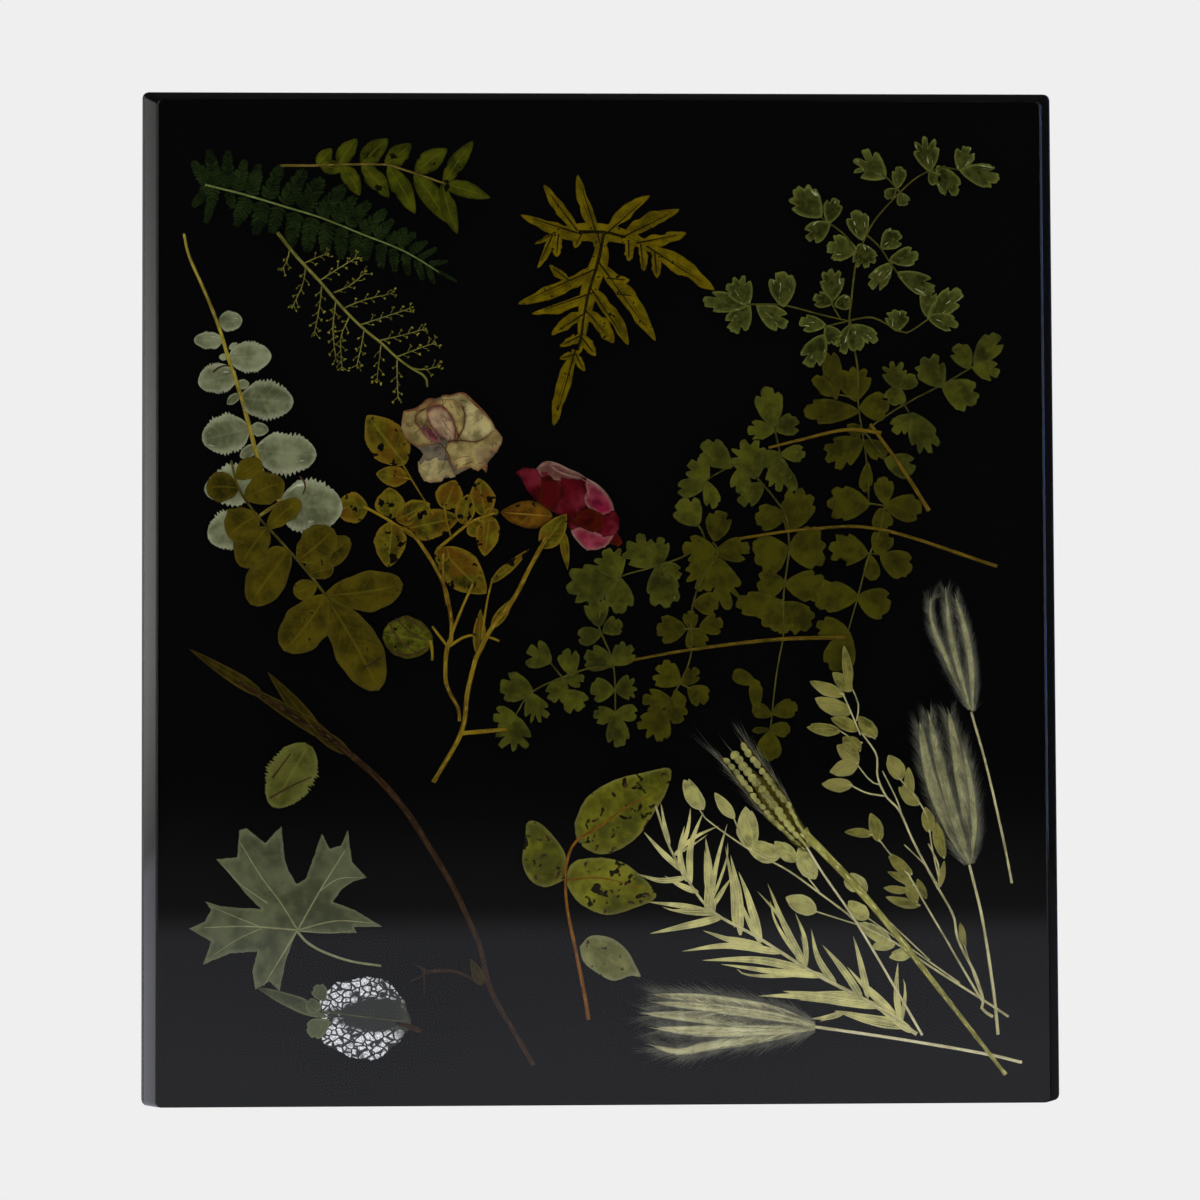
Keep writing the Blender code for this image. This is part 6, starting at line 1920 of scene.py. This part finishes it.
            strands="""
    10 0.5 814 1026 775 1012 715 1001 652 995 / 9 0.35 814 1027 775 1018 715 1009 654 1003 / 12 0.6
    815 1028 775 1025 715 1019 644 1014 / 11 0.42 815 1029 775 1031 715 1032 654 1029 / 10 0.55 814 1030
    775 1037 720 1044 680 1052 651 1046""",
            floss=160, floss_length=15.0, hairs=1000, hair_length=30.0,
        ),
    ]


# The slab


@dataclass(frozen=True)
class ClearResin:
    """Clear casting resin, polished: see-through, with a faint cool tint in thick parts."""

    name: str = "clear casting resin, polished"

    def build(self) -> bpy.types.Material:
        """Make the material."""
        material, graph = new_material(self.name)
        # Polished by the mould, so reflections are sharp
        clear = {"Base Color": linear("ffffff"), "Roughness": 0.0, "IOR": 1.5, "Transmission Weight": 1.0}
        shader = graph.add("BsdfPrincipled", clear)
        tint = graph.add("VolumeAbsorption", {"Color": linear("dce6f4"), "Density": 4.0})
        graph.add("OutputMaterial", {0: shader.outputs[0], 1: tint.outputs[0]})
        return material


@dataclass(frozen=True)
class BlackResin:
    """Black pigmented casting resin, smooth where it meets the clear casting."""

    name: str = "black casting resin, cast smooth"

    def build(self) -> bpy.types.Material:
        """Make the material."""
        material, graph = new_material(self.name)
        where = graph.place()
        # Very slight unevenness of the poured back, about 6 mm across
        cloud = graph.noise(where, 6.0, 2.0)
        rough = graph.ramp(cloud, 0.3, 0.7, (0.22, 0.30))
        # Bonded to the clear casting in front, so only its free sides and back have a gloss
        gloss = graph.ramp(graph.add("SeparateXYZ", {0: where}).outputs[1], 0.0091, 0.0093, (0.0, 0.4))
        graph.surface(linear("040405"), rough, gloss, relief=cloud, depth_mm=0.02, strength=0.2)
        return material


@dataclass(frozen=True)
class ClearCasting:
    """The clear part of the slab as one piece; it stands for both packed halves."""

    # Sizes in metres: face, draft of the sides over the whole depth, corner and front edge radius
    face_width: float = 0.397
    face_height: float = 0.449
    side_draft: float = 0.008
    depth: float = 0.030
    corner: float = 0.0028
    edge: float = 0.0010
    # The clear casting reaches slightly into the backing, so no gap lets light between them
    back: float = 0.0241
    tuck: float = 0.0002

    def outline(self, depth: float, inset: float) -> list[Vector]:
        """Rounded outline across the slab.

        Args:
            depth: Distance behind the face.
            inset: Distance inwards from the full outline.

        Returns:
            The points.
        """
        grown = self.side_draft * depth / self.depth - inset
        half, top = self.face_width / 2 + grown, self.face_height + grown
        radius = self.corner - inset
        ring = []
        for quarter, (x, z) in enumerate(((half, top), (-half, top), (-half, inset), (half, inset))):
            middle_x = x - math.copysign(radius, x)
            middle_z = z - radius if quarter < 2 else z + radius
            for step in range(9):
                turn = math.pi / 2 * (quarter + step / 8)
                across, up = radius * math.cos(turn), radius * math.sin(turn)
                ring.append(Vector((middle_x + across, depth - self.depth / 2, middle_z + up)))
        return ring

    def build(self) -> None:
        """Build the casting."""
        turns = [math.pi / 2 * i / 5 for i in range(5, -1, -1)]
        stations = [(self.edge * (1 - math.sin(a)), self.edge * (1 - math.cos(a))) for a in turns]
        stations += [(0.0238, 0.0), (0.0239, self.tuck), (self.back, self.tuck)]
        work = bmesh.new()
        rings = [[work.verts.new(p) for p in self.outline(*station)] for station in stations]
        for near, far in zip(rings, rings[1:]):
            for i, corner in enumerate(near):
                j = (i + 1) % len(near)
                work.faces.new((corner, near[j], far[j], far[i]))
        caps = [work.faces.new(rings[0]), work.faces.new(rings[-1])]
        bmesh.ops.recalc_face_normals(work, faces=work.faces)
        for face in work.faces:
            face.smooth = face not in caps
        for edge in work.edges:
            if edge.calc_face_angle(0.0) > math.radians(25):
                edge.smooth = False
        mesh = bpy.data.meshes.new("clear_casting")
        work.to_mesh(mesh)
        work.free()
        mesh.materials.append(ClearResin().build())
        casting = show("clear_casting", mesh, ["clear_front_half", "clear_rear_half"])
        LOG.info("%s done", casting.name)


def dress_backing(nodes: dict[str, bpy.types.Object]) -> None:
    """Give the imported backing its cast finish."""
    for entry in nodes["black_backing"].material_slots:
        entry.material = BlackResin().build()


# Stage: world and camera


@dataclass(frozen=True)
class Studio:
    """Pale sweep all round, with soft light from both front sides and a dim middle."""

    backdrop: str = "efefef"
    light: float = 2.08
    lens: float = 155.1
    stand: tuple[float, float, float] = (-0.1015, -2.3128, 0.08)
    # Yaw, pitch and roll in degrees
    aim: tuple[float, float, float] = (2.5, 3.59, -0.25)

    def mirrored(self, graph: Graph, z: Any, front: Any, aside: Any, level: Any) -> tuple[Any, Any, Any]:
        """What the glossy slab mirrors.

        Args:
            graph: The world's graph.
            z: Height of the direction.
            front: How far the direction points to the front.
            aside: How far it points to the right.
            level: Length of its level part.

        Returns:
            Brightness for reflections, brightness for light through the resin, and the tint.
        """
        side = graph.ramp(front, 0.0, 0.35)
        # Dim gap straight in front of the face, where the photographer stands
        facing = graph.math("DIVIDE", front, level)
        gap = graph.ramp(facing, math.cos(math.radians(34)), math.cos(math.radians(15)))
        soft = graph.times(side, graph.math("MULTIPLY_ADD", gap, -0.7, 0.7))
        dim = graph.times(gap, graph.ramp(z, 0.030, 0.0, (0.024, 0.13)))
        # Behind: pale wall on the left, dark above and to the right, a blue window at the far right
        wall = graph.times(graph.ramp(z, 0.19, 0.07, (0.22, 0.49)), graph.ramp(aside, 0.25, 0.05))
        upper, lower = graph.ramp(z, 0.34, 0.24, (0.02, 1.0)), graph.ramp(z, -0.02, 0.06, (0.30, 1.0))
        wall = graph.times(wall, upper, lower)
        window = graph.times(graph.ramp(aside, 0.52, 0.66), graph.ramp(z, 0.6, 0.4, (0.02, 1.3)))
        back = graph.math("ADD", graph.math("ADD", wall, window), 0.008)
        behind = graph.times(back, graph.math("SUBTRACT", 1.0, side))
        above = graph.math("ADD", graph.math("ADD", soft, dim), behind)
        # The pale table starts at the horizon, which the lower face mirrors
        reach = graph.math("MAXIMUM", side, graph.ramp(aside, 0.25, 0.05, (0.04, 0.8)))
        table = graph.times(graph.ramp(z, -0.03, -0.004, (0.60, 0.50)), reach)
        horizon = graph.ramp(z, -0.004, 0.004)
        seen = graph.add("Mix", {0: horizon, 2: table, 3: above}, data_type="FLOAT").outputs[0]
        # Light that passes through the resin onto the plants comes from a broad soft front dome
        through = graph.math("MAXIMUM", graph.times(side, self.light), behind)
        tint = graph.mix(graph.ramp(aside, 0.50, 0.60), "fffffc", "6f9dff")
        tint = graph.mix(horizon, "f2f3ff", graph.mix(side, tint, "ffffff"))
        return seen, through, tint

    def build_world(self) -> None:
        """Set up the world: flat backdrop for the eye, soft light for everything else."""
        scene = bpy.context.scene
        scene.world = bpy.data.worlds.new("studio")
        scene.world.use_nodes = True
        graph = Graph(scene.world.node_tree)
        x, y, z = graph.add("SeparateXYZ", {0: graph.add("TexCoord").outputs["Generated"]}).outputs
        level = graph.math("SQRT", graph.math("ADD", graph.times(x, x), graph.times(y, y)))
        level = graph.math("MAXIMUM", level, 0.0001)
        aside = graph.math("DIVIDE", x, level)
        seen, through, tint = self.mirrored(graph, z, graph.times(y, -1.0), aside, level)
        path = graph.add("LightPath").outputs
        inputs = {0: path["Is Transmission Ray"], 2: seen, 3: through}
        strength = graph.add("Mix", inputs, data_type="FLOAT").outputs[0]
        lit = graph.add("Background", {"Color": tint, "Strength": strength}).outputs[0]
        flat = graph.add("Background", {"Color": linear(self.backdrop), "Strength": 1.0}).outputs[0]
        chosen = graph.add("MixShader", {0: path["Is Camera Ray"], 1: lit, 2: flat}).outputs[0]
        graph.add("OutputWorld", {0: chosen})
        scene.view_settings.view_transform = "Standard"

    def build_camera(self) -> None:
        """Camera a little to the left of the middle, low, looking up at the face."""
        data = bpy.data.cameras.new("camera")
        data.lens, data.sensor_width = self.lens, 36.0
        data.clip_start, data.clip_end = 0.05, 50.0
        camera = bpy.data.objects.new("camera", data)
        yaw, pitch, roll = (math.radians(angle) for angle in self.aim)
        ahead = Vector((math.sin(yaw) * math.cos(pitch), math.cos(yaw) * math.cos(pitch), math.sin(pitch)))
        right = ahead.cross(Vector((0, 0, 1))).normalized()
        top = right.cross(ahead)
        across = right * math.cos(roll) + top * math.sin(roll)
        upward = top * math.cos(roll) - right * math.sin(roll)
        turn = Matrix((across, upward, -ahead)).transposed().to_4x4()
        camera.matrix_world = Matrix.Translation(self.stand) @ turn
        bpy.context.scene.collection.objects.link(camera)
        bpy.context.scene.camera = camera


def main() -> None:
    """Build the stage, the slab and every plant."""
    logging.basicConfig(level=logging.INFO, format="%(name)s: %(message)s")
    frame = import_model()
    studio = Studio()
    studio.build_world()
    studio.build_camera()
    dress_backing(frame["nodes"])
    ClearCasting().build()
    for plant in all_plants():
        plant.build()


if __name__ == "__main__":
    main()
